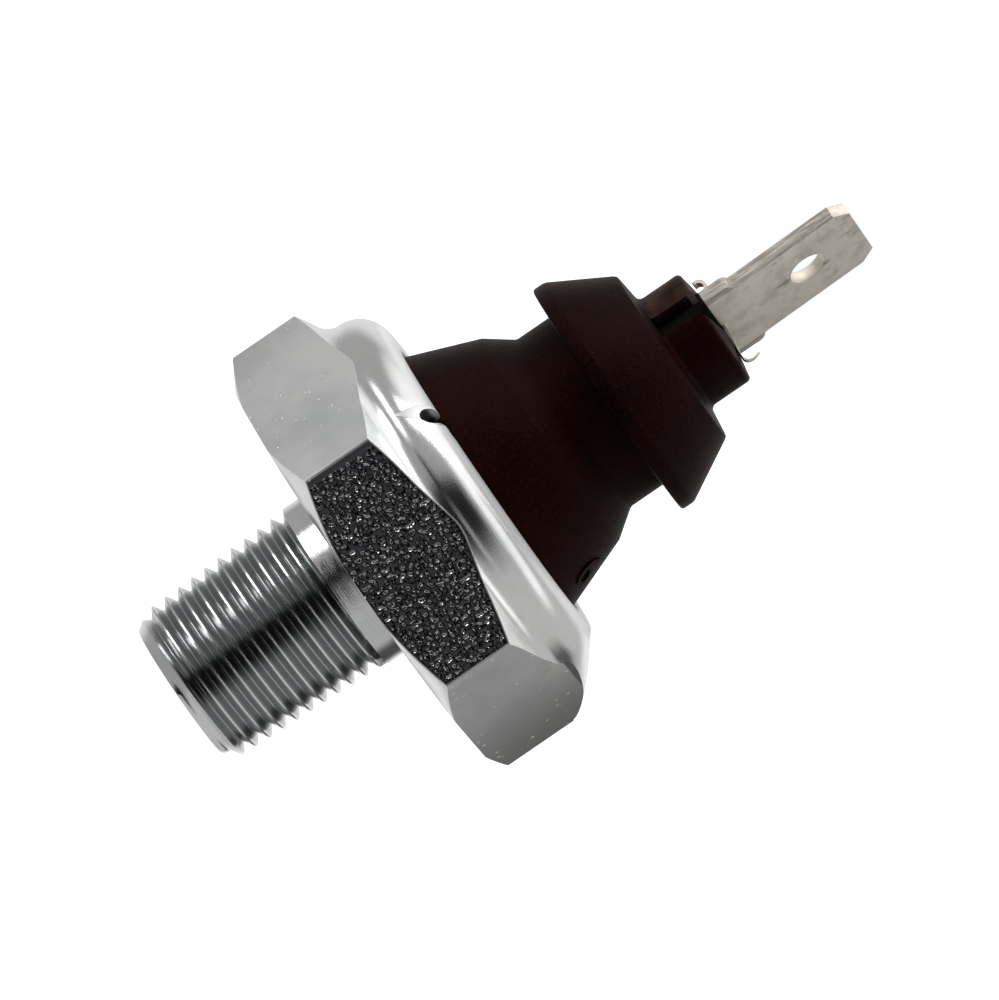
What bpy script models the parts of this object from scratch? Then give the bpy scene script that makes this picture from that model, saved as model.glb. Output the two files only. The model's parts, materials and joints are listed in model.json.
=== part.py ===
# Oil pressure sender with one blade terminal, in metres.
# The axis is +Z with the thread below, and the origin is the centre of the thread's tip.

import math

import bmesh
import bpy
from mathutils import Matrix, Vector

# Gap left between neighbouring pieces
GAP = 0.0003

# Thread and shank
THREAD_LENGTH = 0.0105
THREAD_DIAMETER = 0.0103
THREAD_TAPER = 0.0625
TIP_CHAMFER_HEIGHT = 0.0009
TIP_CHAMFER_DEPTH = 0.0007
SHANK_DIAMETER = 0.0105
SHANK_LENGTH = 0.0016
OIL_BORE_DIAMETER = 0.003
OIL_BORE_CHAMFER = 0.0003

# Hexagon, whose height is taken at its corners
HEX_ACROSS_FLATS = 0.024
HEX_HEIGHT = 0.00513
HEX_FACE_OVERHANG = 0.0002
HEX_LOWER_CHAMFER_DEG = 30.0
HEX_UPPER_CHAMFER_DEG = 28.0

# Cup and crimped lip
COLLAR_INSET = 0.00003
COLLAR_FILLET = 0.0012
COLLAR_HEIGHT = 0.002094
CUP_WALL = 0.00138
LIP_THICKNESS = 0.0011
LIP_ROUND = 0.00209
LIP_GRIP = 0.0019
LIP_EDGE_ROUND = 0.00025
FLOOR_THICKNESS = 0.0025
CHAMBER_LAND = 0.0016
CHAMBER_DEPTH = 0.0007
NICK_TURN_DEG = -36.7
NICK_WIDTH = 0.0011
NICK_DEPTH = 0.0008

# Seal, diaphragm, contact ring and gasket
SEAL_LAND = 0.0008
SEAL_SECTION = 0.0012
DIAPHRAGM_THICKNESS = 0.0004
DIAPHRAGM_FOLD_HEIGHT = 0.0007
DIAPHRAGM_FOLD_WIDTH = 0.0016
CONTACT_RING_SHEET = 0.0008
GASKET_WIDTH = 0.0021
GASKET_THICKNESS = 0.0006
GASKET_INNER_MARGIN = 0.0003

# Plunger, moving contact and spring
CONTACT_TRAVEL = 0.0005
PLUNGER_FOOT_MARGIN = 0.0005
PLUNGER_FOOT_THICKNESS = 0.0008
PLUNGER_STEM_DIAMETER = 0.0044
CONTACT_DISC_DIAMETER = 0.01
CONTACT_DISC_SHEET = 0.0004
CONTACT_DISC_BOSS_HEIGHT = 0.0005
CONTACT_CHAMBER_CLEARANCE = 0.0006
SPRING_WIRE = 0.00045
SPRING_MEAN_DIAMETER = 0.005
SPRING_TURNS = 5.5
SPRING_COIL_GAP = 0.00015

# Spring cup, setting screw and bush
SPRING_CUP_SHEET = 0.0004
SPRING_CUP_RIM = 0.001
SCREW_DIAMETER = 0.0039
SCREW_LENGTH = 0.004
SCREW_PROJECTION = 0.0003
SCREW_SLOT_WIDTH = 0.0008
SCREW_SLOT_DEPTH = 0.0008
SCREW_CHAMFER = 0.0003
BUSH_WALL = 0.00095
BUSH_LENGTH = 0.0067
BUSH_RIB_HEIGHT = 0.0007
BUSH_RIB_WIDTH = 0.0012

# Insulator
INSULATOR_CONE_HEIGHT = 0.004
INSULATOR_SHOULDER_DIAMETER = 0.01374
INSULATOR_SHOULDER_HEIGHT = 0.0017
NECK_DIAMETER = 0.01134
NECK_HEIGHT = 0.00225
FLANGE_DIAMETER = 0.01488
FLANGE_LAND_HEIGHT = 0.0008
FLANGE_CONE_HEIGHT = 0.0036
FLANGE_TOP_DIAMETER = 0.01088
FLANGE_EDGE_ROUND = 0.0003
CROWN_RISE = 0.00015
BOSS_DIAMETER = 0.0072
BOSS_HEIGHT = 0.0028
BOSS_DOME = 0.00035
BOSS_FILLET = 0.0003
BOSS_EDGE_ROUND = 0.0003
BASE_EDGE_ROUND = 0.0006
SLOT_FLOOR_RISE = 0.0003
SLOT_LEAD_WIDTH = 0.0006
SLOT_LEAD_HEIGHT = 0.0007
WEB_THICKNESS = 0.0007

# Blade terminal
BLADE_TURN_DEG = 55.6
BLADE_LEAN_DEG = 1.3
BLADE_WIDTH = 0.0063
BLADE_THICKNESS = 0.0008
BLADE_REACH = 0.0094
BLADE_TIP_CHAMFER = 0.0009
BLADE_HOLE_DIAMETER = 0.0022
BLADE_HOLE_FROM_TIP = 0.00365
BLADE_HOLE_CHAMFER = 0.00015
FOOT_WIDTH = 0.0073
FOOT_HEIGHT = 0.0017
FOOT_SINK = 0.0003
FOOT_ROUND = 0.0005
TAIL_WIDTH = 0.0056
TAIL_GRIP = 0.0012
EAR_SPREAD = 0.006
EAR_WIDTH = 0.0007
EAR_THICKNESS = 0.0003
EAR_HEIGHT = 0.00095
EAR_CURL = 0.00045

# Roundness of the facets
ROUND_STEPS = 60
INNER_STEPS = 36
SMALL_STEPS = 24
ARC_STEPS = 5
COIL_STEPS = 14
MERGE_DISTANCE = 0.000001
SHARP_ANGLE_DEG = 30.0

# Radii of the hexagon and the collar, and the fillet that joins them
R_CORNER = HEX_ACROSS_FLATS / math.sqrt(3)
R_COLLAR = HEX_ACROSS_FLATS / 2 - COLLAR_INSET
UPPER_SLOPE = math.radians(HEX_UPPER_CHAMFER_DEG)
R_FILLET_END = R_COLLAR + COLLAR_FILLET * (1 - math.sin(UPPER_SLOPE))

# Heights of the body, from the tip up
Z_SHANK = THREAD_LENGTH
Z_HEX = Z_SHANK + SHANK_LENGTH
Z_CORNER = Z_HEX + HEX_HEIGHT
Z_FILLET_END = Z_CORNER + (R_CORNER - R_FILLET_END) * math.tan(UPPER_SLOPE)
Z_COLLAR = Z_FILLET_END + COLLAR_FILLET * math.cos(UPPER_SLOPE)
Z_LIP = Z_COLLAR + COLLAR_HEIGHT
Z_FLOOR = Z_HEX + FLOOR_THICKNESS

# Heights of what is stacked on the cup's floor
Z_DIAPHRAGM = Z_FLOOR + GAP
Z_CONTACT_RING = Z_DIAPHRAGM + DIAPHRAGM_THICKNESS + GAP
Z_GASKET = Z_CONTACT_RING + CONTACT_RING_SHEET + GAP
Z_BASE = Z_GASKET + GASKET_THICKNESS + GAP
Z_FOOT_TOP = Z_CONTACT_RING + PLUNGER_FOOT_THICKNESS
Z_LAND = Z_FOOT_TOP + CONTACT_TRAVEL + GAP + CONTACT_RING_SHEET
Z_DISC = Z_LAND + GAP

# Heights of the insulator's outside
Z_SHOULDER = Z_LIP + INSULATOR_CONE_HEIGHT
Z_NECK = Z_SHOULDER + INSULATOR_SHOULDER_HEIGHT
Z_FLANGE = Z_NECK + NECK_HEIGHT
Z_FLANGE_CONE = Z_FLANGE + FLANGE_LAND_HEIGHT
Z_FLANGE_TOP = Z_FLANGE_CONE + FLANGE_CONE_HEIGHT
Z_CROWN = Z_FLANGE_TOP + CROWN_RISE
Z_BOSS_EDGE = Z_CROWN + BOSS_HEIGHT
Z_BOSS_TOP = Z_BOSS_EDGE + BOSS_DOME
Z_SLOT_FLOOR = Z_CROWN + SLOT_FLOOR_RISE

# Heights of the bush, the screw and the spring, from the web down
Z_BUSH_TOP = Z_SLOT_FLOOR - WEB_THICKNESS - GAP
Z_BUSH = Z_BUSH_TOP - BUSH_LENGTH
Z_SCREW = Z_BUSH - SCREW_PROJECTION
Z_CUP_TOP = Z_SCREW - GAP
Z_CUP_PLATE = Z_CUP_TOP - SPRING_CUP_SHEET
Z_CUP_RIM = Z_CUP_PLATE - SPRING_CUP_RIM
Z_TAIL = Z_BUSH_TOP - TAIL_GRIP

# Heights of the blade
Z_BLADE_TIP = Z_BOSS_TOP + BLADE_REACH
Z_FOOT = Z_BOSS_TOP + FOOT_HEIGHT
Z_FOOT_BOTTOM = Z_BOSS_TOP - FOOT_SINK

# Radii that neighbours share
R_CUP = R_COLLAR - CUP_WALL
R_STACK = R_CUP - GAP
R_LIP_OPENING = R_CUP - LIP_GRIP
R_GROOVE_OUTER = R_CUP - SEAL_LAND
R_GROOVE_INNER = R_GROOVE_OUTER - SEAL_SECTION - 2 * GAP
R_SEAL = (R_GROOVE_OUTER + R_GROOVE_INNER) / 2
R_CHAMBER = R_GROOVE_INNER - CHAMBER_LAND
R_GASKET = R_STACK - GASKET_WIDTH
R_BASE_BORE = R_GASKET - GASKET_INNER_MARGIN
R_HAT = R_BASE_BORE - GAP
R_RECESS = R_HAT - CONTACT_RING_SHEET
R_FOLD_OUTER = R_RECESS - GAP
R_FOLD_INNER = R_FOLD_OUTER - DIAPHRAGM_FOLD_WIDTH
R_PLUNGER_FOOT = R_FOLD_INNER - PLUNGER_FOOT_MARGIN
R_STEM = PLUNGER_STEM_DIAMETER / 2
R_DISC = CONTACT_DISC_DIAMETER / 2
R_CONTACT_CHAMBER = R_DISC + CONTACT_CHAMBER_CLEARANCE
R_SPRING = SPRING_MEAN_DIAMETER / 2
R_CUP_INSIDE = R_SPRING + SPRING_WIRE / 2 + GAP
R_SPRING_CUP = R_CUP_INSIDE + SPRING_CUP_SHEET
R_CUP_SEAT = R_SPRING_CUP + GAP
R_SCREW = SCREW_DIAMETER / 2
R_BUSH_BORE = R_SCREW + GAP
R_BUSH = R_BUSH_BORE + BUSH_WALL
R_BUSH_RIB = R_BUSH + BUSH_RIB_HEIGHT
R_BUSH_HOLE = R_BUSH + GAP
R_BOSS = BOSS_DIAMETER / 2
SLOT_WIDTH = BLADE_THICKNESS + 2 * GAP
SPRING_BOTTOM = Z_DISC + CONTACT_DISC_SHEET + GAP
SPRING_TOP = Z_CUP_PLATE - GAP


def clear_scene():
    for old in list(bpy.data.objects):
        bpy.data.objects.remove(old, do_unlink=True)


def make_material(name, colour, roughness, metallic):
    material = bpy.data.materials.new(name)
    material.use_nodes = True
    shader = material.node_tree.nodes["Principled BSDF"]
    shader.inputs["Base Color"].default_value = (*colour, 1.0)
    shader.inputs["Roughness"].default_value = roughness
    shader.inputs["Metallic"].default_value = metallic
    return material


def arc(centre, radius, start_deg, end_deg, steps=ARC_STEPS):
    points = []
    for i in range(steps + 1):
        angle = math.radians(start_deg + (end_deg - start_deg) * i / steps)
        points.append((centre[0] + radius * math.cos(angle), centre[1] + radius * math.sin(angle)))
    return points


def add_object(name, bm, material):
    bmesh.ops.recalc_face_normals(bm, faces=bm.faces)
    mesh = bpy.data.meshes.new(name)
    bm.to_mesh(mesh)
    bm.free()
    mesh.shade_smooth()
    mesh.set_sharp_from_angle(angle=math.radians(SHARP_ANGLE_DEG))
    obj = bpy.data.objects.new(name, mesh)
    bpy.context.collection.objects.link(obj)
    if material is not None:
        mesh.materials.append(material)
    return obj


# Spins an outline of (radius, height) points round the axis
def turned(name, outline, material, steps=ROUND_STEPS):
    bm = bmesh.new()
    verts = [bm.verts.new((radius, 0.0, height)) for radius, height in outline]
    edges = []
    for i, vert in enumerate(verts):
        following = verts[(i + 1) % len(verts)]
        if vert.co.x > 0 or following.co.x > 0:
            edges.append(bm.edges.new((vert, following)))
    bmesh.ops.spin(
        bm, geom=verts + edges, cent=(0, 0, 0), axis=(0, 0, 1),
        angle=2 * math.pi, steps=steps, use_merge=True,
    )
    bmesh.ops.remove_doubles(bm, verts=bm.verts, dist=MERGE_DISTANCE)
    return add_object(name, bm, material)


# Extrudes an outline of (across, height) points along Y, centred on the axis plane
def extruded(name, outline, depth, material, middle=0.0):
    bm = bmesh.new()
    verts = [bm.verts.new((across, middle - depth / 2, height)) for across, height in outline]
    face = bm.faces.new(verts)
    grown = bmesh.ops.extrude_face_region(bm, geom=[face])
    moved = [item for item in grown["geom"] if isinstance(item, bmesh.types.BMVert)]
    bmesh.ops.translate(bm, verts=moved, vec=(0, depth, 0))
    return add_object(name, bm, material)


def hexagon_prism(name, across_flats, bottom, top):
    bm = bmesh.new()
    bmesh.ops.create_cone(
        bm, cap_ends=True, segments=6, depth=top - bottom,
        radius1=across_flats / math.sqrt(3), radius2=across_flats / math.sqrt(3),
    )
    bmesh.ops.rotate(bm, verts=bm.verts, cent=(0, 0, 0), matrix=Matrix.Rotation(math.radians(30), 3, "Z"))
    bmesh.ops.translate(bm, verts=bm.verts, vec=(0, 0, (bottom + top) / 2))
    return add_object(name, bm, None)


def combine(target, tool, operation):
    tool.hide_render = True
    tool.display_type = "WIRE"
    modifier = target.modifiers.new(tool.name, "BOOLEAN")
    modifier.operation = operation
    modifier.solver = "EXACT"
    modifier.object = tool


# Steel body in one piece: thread, shank, hexagon, cup and rolled lip, bored through for the oil
def build_hex_body():
    steel = make_material("zinc_steel", (0.62, 0.62, 0.60), 0.3, 1.0)
    beyond = R_CORNER + GAP
    face_radius = HEX_ACROSS_FLATS / 2 + HEX_FACE_OVERHANG
    tip_radius = (THREAD_DIAMETER - (THREAD_LENGTH - TIP_CHAMFER_HEIGHT) * THREAD_TAPER) / 2
    lower_rise = (beyond - face_radius) * math.tan(math.radians(HEX_LOWER_CHAMFER_DEG))
    upper_drop = GAP * math.tan(UPPER_SLOPE)
    lip_bottom = Z_LIP - LIP_THICKNESS
    lip_round = min(LIP_ROUND, COLLAR_HEIGHT, R_COLLAR - R_LIP_OPENING - LIP_EDGE_ROUND)
    inner_round = max(lip_round - CUP_WALL, MERGE_DISTANCE * 10)
    inner_round = min(inner_round, LIP_THICKNESS)
    r_bore = OIL_BORE_DIAMETER / 2
    groove_floor = Z_FLOOR - SEAL_SECTION - GAP
    outline = [
        (r_bore + OIL_BORE_CHAMFER, 0.0),
        (tip_radius - TIP_CHAMFER_DEPTH, 0.0),
        (tip_radius, TIP_CHAMFER_HEIGHT),
        (THREAD_DIAMETER / 2, THREAD_LENGTH),
        (SHANK_DIAMETER / 2, Z_SHANK),
        (SHANK_DIAMETER / 2, Z_HEX),
        (face_radius, Z_HEX),
        (beyond, Z_HEX + lower_rise),
        (beyond, Z_CORNER - upper_drop),
    ]
    outline += arc(
        (R_COLLAR + COLLAR_FILLET, Z_COLLAR), COLLAR_FILLET, 270 - HEX_UPPER_CHAMFER_DEG, 180, 4,
    )
    outline += arc((R_COLLAR - lip_round, Z_LIP - lip_round), lip_round, 0, 90, ARC_STEPS + 2)
    outline += arc(
        (R_LIP_OPENING + LIP_EDGE_ROUND, Z_LIP - LIP_EDGE_ROUND), LIP_EDGE_ROUND, 90, 180, 2,
    )
    outline += [(R_LIP_OPENING, lip_bottom)]
    outline += arc((R_CUP - inner_round, lip_bottom - inner_round), inner_round, 90, 0, 3)
    outline += [
        (R_CUP, Z_FLOOR),
        (R_GROOVE_OUTER, Z_FLOOR),
        (R_GROOVE_OUTER, groove_floor),
        (R_GROOVE_INNER, groove_floor),
        (R_GROOVE_INNER, Z_FLOOR),
        (R_CHAMBER, Z_FLOOR),
        (r_bore, Z_FLOOR - CHAMBER_DEPTH),
        (r_bore, OIL_BORE_CHAMFER),
    ]
    body = turned("hex_body", outline, steel)
    prism = hexagon_prism("hexagon_cutter", HEX_ACROSS_FLATS, -HEX_HEIGHT, Z_LIP + HEX_HEIGHT)
    combine(body, prism, "INTERSECT")
    nick = extruded(
        "nick_cutter",
        [
            (0.0, Z_LIP - NICK_DEPTH),
            (NICK_WIDTH / 2, Z_LIP + GAP),
            (-NICK_WIDTH / 2, Z_LIP + GAP),
        ],
        R_COLLAR - lip_round - R_LIP_OPENING + GAP,
        None,
        -(R_COLLAR - lip_round + R_LIP_OPENING - GAP) / 2,
    )
    nick.rotation_euler = (0, 0, math.radians(NICK_TURN_DEG))
    combine(body, nick, "DIFFERENCE")
    return body


# Rubber ring in the groove of the cup's floor
def build_seal_ring():
    rubber = make_material("seal_rubber", (0.02, 0.02, 0.02), 0.6, 0.0)
    radius = SEAL_SECTION / 2
    centre = (R_SEAL, Z_FLOOR - radius)
    return turned("seal_ring", arc(centre, radius, 0, 315, 7), rubber, INNER_STEPS)


# Coated cloth disc with one rolled fold, clamped round its rim
def build_diaphragm():
    cloth = make_material("diaphragm_cloth", (0.10, 0.07, 0.05), 0.7, 0.0)
    lower = [(0.0, Z_DIAPHRAGM), (R_FOLD_INNER, Z_DIAPHRAGM)]
    upper = [(0.0, Z_DIAPHRAGM + DIAPHRAGM_THICKNESS), (R_FOLD_INNER, Z_DIAPHRAGM + DIAPHRAGM_THICKNESS)]
    waves = 6
    for i in range(1, waves):
        radius = R_FOLD_INNER + DIAPHRAGM_FOLD_WIDTH * i / waves
        rise = DIAPHRAGM_FOLD_HEIGHT * math.sin(math.pi * i / waves) ** 2
        lower.append((radius, Z_DIAPHRAGM + rise))
        upper.append((radius, Z_DIAPHRAGM + DIAPHRAGM_THICKNESS + rise))
    lower += [(R_FOLD_OUTER, Z_DIAPHRAGM), (R_STACK, Z_DIAPHRAGM)]
    upper += [
        (R_FOLD_OUTER, Z_DIAPHRAGM + DIAPHRAGM_THICKNESS),
        (R_STACK, Z_DIAPHRAGM + DIAPHRAGM_THICKNESS),
    ]
    return turned("diaphragm", lower + upper[::-1], cloth, INNER_STEPS)


# Pressed steel ring: a clamped flange and a raised land that the moving contact rests on
def build_contact_ring():
    steel = make_material("contact_steel", (0.66, 0.62, 0.50), 0.35, 1.0)
    hole = R_STEM + GAP
    outline = [
        (R_STACK, Z_CONTACT_RING),
        (R_RECESS, Z_CONTACT_RING),
        (R_RECESS, Z_LAND - CONTACT_RING_SHEET),
        (hole, Z_LAND - CONTACT_RING_SHEET),
        (hole, Z_LAND),
        (R_HAT, Z_LAND),
        (R_HAT, Z_CONTACT_RING + CONTACT_RING_SHEET),
        (R_STACK, Z_CONTACT_RING + CONTACT_RING_SHEET),
    ]
    return turned("contact_ring", outline, steel, INNER_STEPS)


# Flat gasket between the contact ring's flange and the insulator's base
def build_base_gasket():
    fibre = make_material("gasket_fibre", (0.30, 0.22, 0.15), 0.8, 0.0)
    outline = [
        (R_GASKET, Z_GASKET),
        (R_STACK, Z_GASKET),
        (R_STACK, Z_GASKET + GASKET_THICKNESS),
        (R_GASKET, Z_GASKET + GASKET_THICKNESS),
    ]
    return turned("base_gasket", outline, fibre, INNER_STEPS)


# Moulded button on the diaphragm, with a stem through the contact ring
def build_plunger():
    plastic = make_material("plunger_plastic", (0.75, 0.72, 0.62), 0.4, 0.0)
    outline = [
        (0.0, Z_CONTACT_RING),
        (R_PLUNGER_FOOT, Z_CONTACT_RING),
        (R_PLUNGER_FOOT, Z_FOOT_TOP),
        (R_STEM, Z_FOOT_TOP),
        (R_STEM, Z_LAND - GAP),
        (R_STEM - GAP, Z_LAND),
        (0.0, Z_LAND),
    ]
    return turned("plunger", outline, plastic, SMALL_STEPS)


# Stamped disc with a raised middle that centres the spring
def build_moving_contact():
    brass = make_material("contact_brass", (0.75, 0.55, 0.25), 0.3, 1.0)
    boss_outer = R_SPRING - SPRING_WIRE / 2 - GAP
    boss_inner = boss_outer - CONTACT_DISC_SHEET
    outline = [
        (0.0, Z_DISC + CONTACT_DISC_BOSS_HEIGHT),
        (boss_inner, Z_DISC + CONTACT_DISC_BOSS_HEIGHT),
        (boss_inner, Z_DISC),
        (R_DISC, Z_DISC),
        (R_DISC, Z_DISC + CONTACT_DISC_SHEET),
        (boss_outer, Z_DISC + CONTACT_DISC_SHEET),
        (boss_outer, Z_DISC + CONTACT_DISC_SHEET + CONTACT_DISC_BOSS_HEIGHT),
        (0.0, Z_DISC + CONTACT_DISC_SHEET + CONTACT_DISC_BOSS_HEIGHT),
    ]
    return turned("moving_contact", outline, brass, INNER_STEPS)


# Coil spring whose end turns lie close together
def build_contact_spring():
    wire = make_material("spring_wire", (0.55, 0.55, 0.54), 0.3, 1.0)
    bottom = SPRING_BOTTOM + SPRING_WIRE / 2
    height = SPRING_TOP - SPRING_WIRE / 2 - bottom
    close_pitch = SPRING_WIRE + SPRING_COIL_GAP
    opening = height - close_pitch * SPRING_TURNS
    count = round(SPRING_TURNS * COIL_STEPS)
    curve = bpy.data.curves.new("contact_spring", "CURVE")
    curve.dimensions = "3D"
    curve.bevel_depth = SPRING_WIRE / 2
    curve.bevel_resolution = 1
    curve.use_fill_caps = True
    curve.materials.append(wire)
    coil = curve.splines.new("POLY")
    coil.points.add(count)
    for i in range(count + 1):
        share = i / count
        angle = 2 * math.pi * SPRING_TURNS * share
        eased = share * share * (3 - 2 * share)
        rise = bottom + close_pitch * SPRING_TURNS * share + opening * eased
        coil.points[i].co = (R_SPRING * math.cos(angle), R_SPRING * math.sin(angle), rise, 1.0)
    spring = bpy.data.objects.new("contact_spring", curve)
    bpy.context.collection.objects.link(spring)
    return spring


# Pressed cup over the spring's upper end
def build_spring_cup():
    steel = make_material("cup_steel", (0.60, 0.60, 0.58), 0.35, 1.0)
    outline = [
        (0.0, Z_CUP_PLATE),
        (R_CUP_INSIDE, Z_CUP_PLATE),
        (R_CUP_INSIDE, Z_CUP_RIM),
        (R_SPRING_CUP, Z_CUP_RIM),
        (R_SPRING_CUP, Z_CUP_TOP),
        (0.0, Z_CUP_TOP),
    ]
    return turned("spring_cup", outline, steel, SMALL_STEPS)


# Slotted grub screw that sets the spring's load
def build_setting_screw():
    brass = make_material("screw_brass", (0.72, 0.55, 0.28), 0.35, 1.0)
    top = Z_SCREW + SCREW_LENGTH
    outline = [
        (0.0, Z_SCREW),
        (R_SCREW - SCREW_CHAMFER, Z_SCREW),
        (R_SCREW, Z_SCREW + SCREW_CHAMFER),
        (R_SCREW, top - SCREW_CHAMFER),
        (R_SCREW - SCREW_CHAMFER, top),
        (0.0, top),
    ]
    screw = turned("setting_screw", outline, brass, SMALL_STEPS)
    half = SCREW_SLOT_WIDTH / 2
    slot = extruded(
        "screw_slot_cutter",
        [
            (-half, top - SCREW_SLOT_DEPTH),
            (half, top - SCREW_SLOT_DEPTH),
            (half, top + GAP),
            (-half, top + GAP),
        ],
        2 * SCREW_DIAMETER,
        None,
    )
    combine(screw, slot, "DIFFERENCE")
    return screw


# Brass bush moulded into the neck, with a rib that holds it and a slotted crown for the blade's tail
def build_screw_bush():
    brass = make_material("bush_brass", (0.70, 0.52, 0.24), 0.35, 1.0)
    rib_middle = Z_BUSH + BUSH_LENGTH / 2
    outline = [
        (R_BUSH_BORE, Z_BUSH),
        (R_BUSH, Z_BUSH),
        (R_BUSH, rib_middle - BUSH_RIB_WIDTH / 2),
        (R_BUSH_RIB, rib_middle - BUSH_RIB_WIDTH / 2),
        (R_BUSH_RIB, rib_middle + BUSH_RIB_WIDTH / 2),
        (R_BUSH, rib_middle + BUSH_RIB_WIDTH / 2),
        (R_BUSH, Z_BUSH_TOP),
        (R_BUSH_BORE, Z_BUSH_TOP),
    ]
    bush = turned("screw_bush", outline, brass, SMALL_STEPS)
    slot_floor = Z_TAIL - GAP
    half = R_BUSH + GAP
    slot = extruded(
        "bush_slot_cutter",
        [(-half, slot_floor), (half, slot_floor), (half, Z_BUSH_TOP + GAP), (-half, Z_BUSH_TOP + GAP)],
        SLOT_WIDTH,
        None,
    )
    slot.rotation_euler = (0, 0, math.radians(BLADE_TURN_DEG))
    combine(bush, slot, "DIFFERENCE")
    return bush


def insulator_outside():
    start = R_LIP_OPENING - GAP
    shoulder = INSULATOR_SHOULDER_DIAMETER / 2
    neck = NECK_DIAMETER / 2
    flange = FLANGE_DIAMETER / 2
    flange_top = FLANGE_TOP_DIAMETER / 2
    base_top = Z_LIP - LIP_THICKNESS - GAP
    base_round = min(BASE_EDGE_ROUND, (base_top - Z_BASE) / 2)
    edge = FLANGE_EDGE_ROUND
    outline = [(R_STACK, Z_BASE)]
    outline += arc((R_STACK - base_round, base_top - base_round), base_round, 0, 90, 3)
    outline += [
        (start, base_top),
        (start, Z_LIP),
        (shoulder, Z_SHOULDER),
        (neck, Z_NECK),
        (neck, Z_FLANGE),
        (flange - edge / 2, Z_FLANGE),
        (flange, Z_FLANGE + edge / 2),
        (flange, Z_FLANGE_CONE),
        (flange_top + edge / 2, Z_FLANGE_TOP - edge),
        (flange_top, Z_FLANGE_TOP - edge / 4),
        (flange_top - edge, Z_FLANGE_TOP),
    ]
    outline += arc((R_BOSS + BOSS_FILLET, Z_CROWN + BOSS_FILLET), BOSS_FILLET, 270, 180, 3)
    outline += [
        (R_BOSS, Z_BOSS_EDGE - BOSS_EDGE_ROUND),
        (R_BOSS - BOSS_EDGE_ROUND / 3, Z_BOSS_EDGE - BOSS_EDGE_ROUND / 4),
        (R_BOSS - BOSS_EDGE_ROUND, Z_BOSS_EDGE),
        (0.0, Z_BOSS_TOP),
    ]
    return outline


def insulator_inside():
    rib_middle = Z_BUSH + BUSH_LENGTH / 2
    rib_half = BUSH_RIB_WIDTH / 2 + GAP
    return [
        (0.0, Z_BUSH_TOP + GAP),
        (R_BUSH_HOLE, Z_BUSH_TOP + GAP),
        (R_BUSH_HOLE, rib_middle + rib_half),
        (R_BUSH_RIB + GAP, rib_middle + rib_half),
        (R_BUSH_RIB + GAP, rib_middle - rib_half),
        (R_BUSH_HOLE, rib_middle - rib_half),
        (R_BUSH_HOLE, Z_CUP_TOP + GAP),
        (R_CUP_SEAT, Z_CUP_TOP + GAP),
        (R_CUP_SEAT, Z_CUP_RIM - GAP),
        (R_CONTACT_CHAMBER, Z_CUP_RIM - GAP),
        (R_CONTACT_CHAMBER, Z_LAND + GAP),
        (R_BASE_BORE, Z_LAND + GAP),
        (R_BASE_BORE, Z_BASE),
    ]


# Moulded cap in one piece: base flange, double cone, neck, retaining flange and slotted boss
def build_insulator():
    plastic = make_material("brown_plastic", (0.055, 0.018, 0.014), 0.45, 0.0)
    cap = turned("insulator", insulator_outside() + insulator_inside(), plastic)
    half = SLOT_WIDTH / 2
    lead = half + SLOT_LEAD_WIDTH
    lead_floor = Z_BOSS_TOP - SLOT_LEAD_HEIGHT
    above = Z_BOSS_TOP + SLOT_LEAD_HEIGHT
    slope = lead + SLOT_LEAD_WIDTH
    boss_slot = extruded(
        "boss_slot_cutter",
        [
            (-half, Z_SLOT_FLOOR),
            (half, Z_SLOT_FLOOR),
            (half, lead_floor),
            (slope, above),
            (-slope, above),
            (-half, lead_floor),
        ],
        2 * BOSS_DIAMETER,
        None,
    )
    boss_slot.rotation_euler = (0, 0, math.radians(BLADE_TURN_DEG + 90))
    combine(cap, boss_slot, "DIFFERENCE")
    tail_half = TAIL_WIDTH / 2 + GAP
    below = Z_BUSH_TOP - GAP
    tail_slot = extruded(
        "tail_slot_cutter",
        [
            (-tail_half, below),
            (tail_half, below),
            (tail_half, Z_SLOT_FLOOR + GAP),
            (-tail_half, Z_SLOT_FLOOR + GAP),
        ],
        SLOT_WIDTH,
        None,
    )
    tail_slot.rotation_euler = (0, 0, math.radians(BLADE_TURN_DEG))
    combine(cap, tail_slot, "DIFFERENCE")
    return cap


def blade_outline():
    tail = TAIL_WIDTH / 2
    foot = FOOT_WIDTH / 2
    blade = BLADE_WIDTH / 2
    chamfer = BLADE_TIP_CHAMFER
    right = [
        (tail, Z_TAIL),
        (tail, Z_FOOT_BOTTOM),
        (foot, Z_FOOT_BOTTOM),
    ]
    right += arc((foot - FOOT_ROUND, Z_FOOT - FOOT_ROUND), FOOT_ROUND, 0, 60, 3)
    right += [
        (blade, Z_FOOT),
        (blade, Z_BLADE_TIP - chamfer),
        (blade - chamfer * 0.8, Z_BLADE_TIP),
    ]
    return right + [(-across, height) for across, height in right[::-1]]


# Outline of one ear, lying along the boss's dome and turned up at its end, in (away from the face, height)
def ear_outline():
    start = BLADE_THICKNESS / 4
    reach = EAR_SPREAD / 2
    low = Z_BOSS_TOP + GAP
    dome_fall = BOSS_DOME / (R_BOSS - BOSS_EDGE_ROUND)
    bend = reach - EAR_CURL - EAR_THICKNESS
    outer = [(start, low), (bend, low)]
    outer += arc((bend, low + EAR_CURL + EAR_THICKNESS), EAR_CURL + EAR_THICKNESS, 300, 360, 3)
    outer += [(reach - EAR_THICKNESS, low + EAR_HEIGHT)]
    inner = [(start, low + EAR_THICKNESS), (bend, low + EAR_THICKNESS)]
    inner += arc((bend, low + EAR_CURL + EAR_THICKNESS), EAR_CURL, 300, 360, 3)
    return [(away, height - dome_fall * away) for away, height in outer + inner[::-1]]


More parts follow.
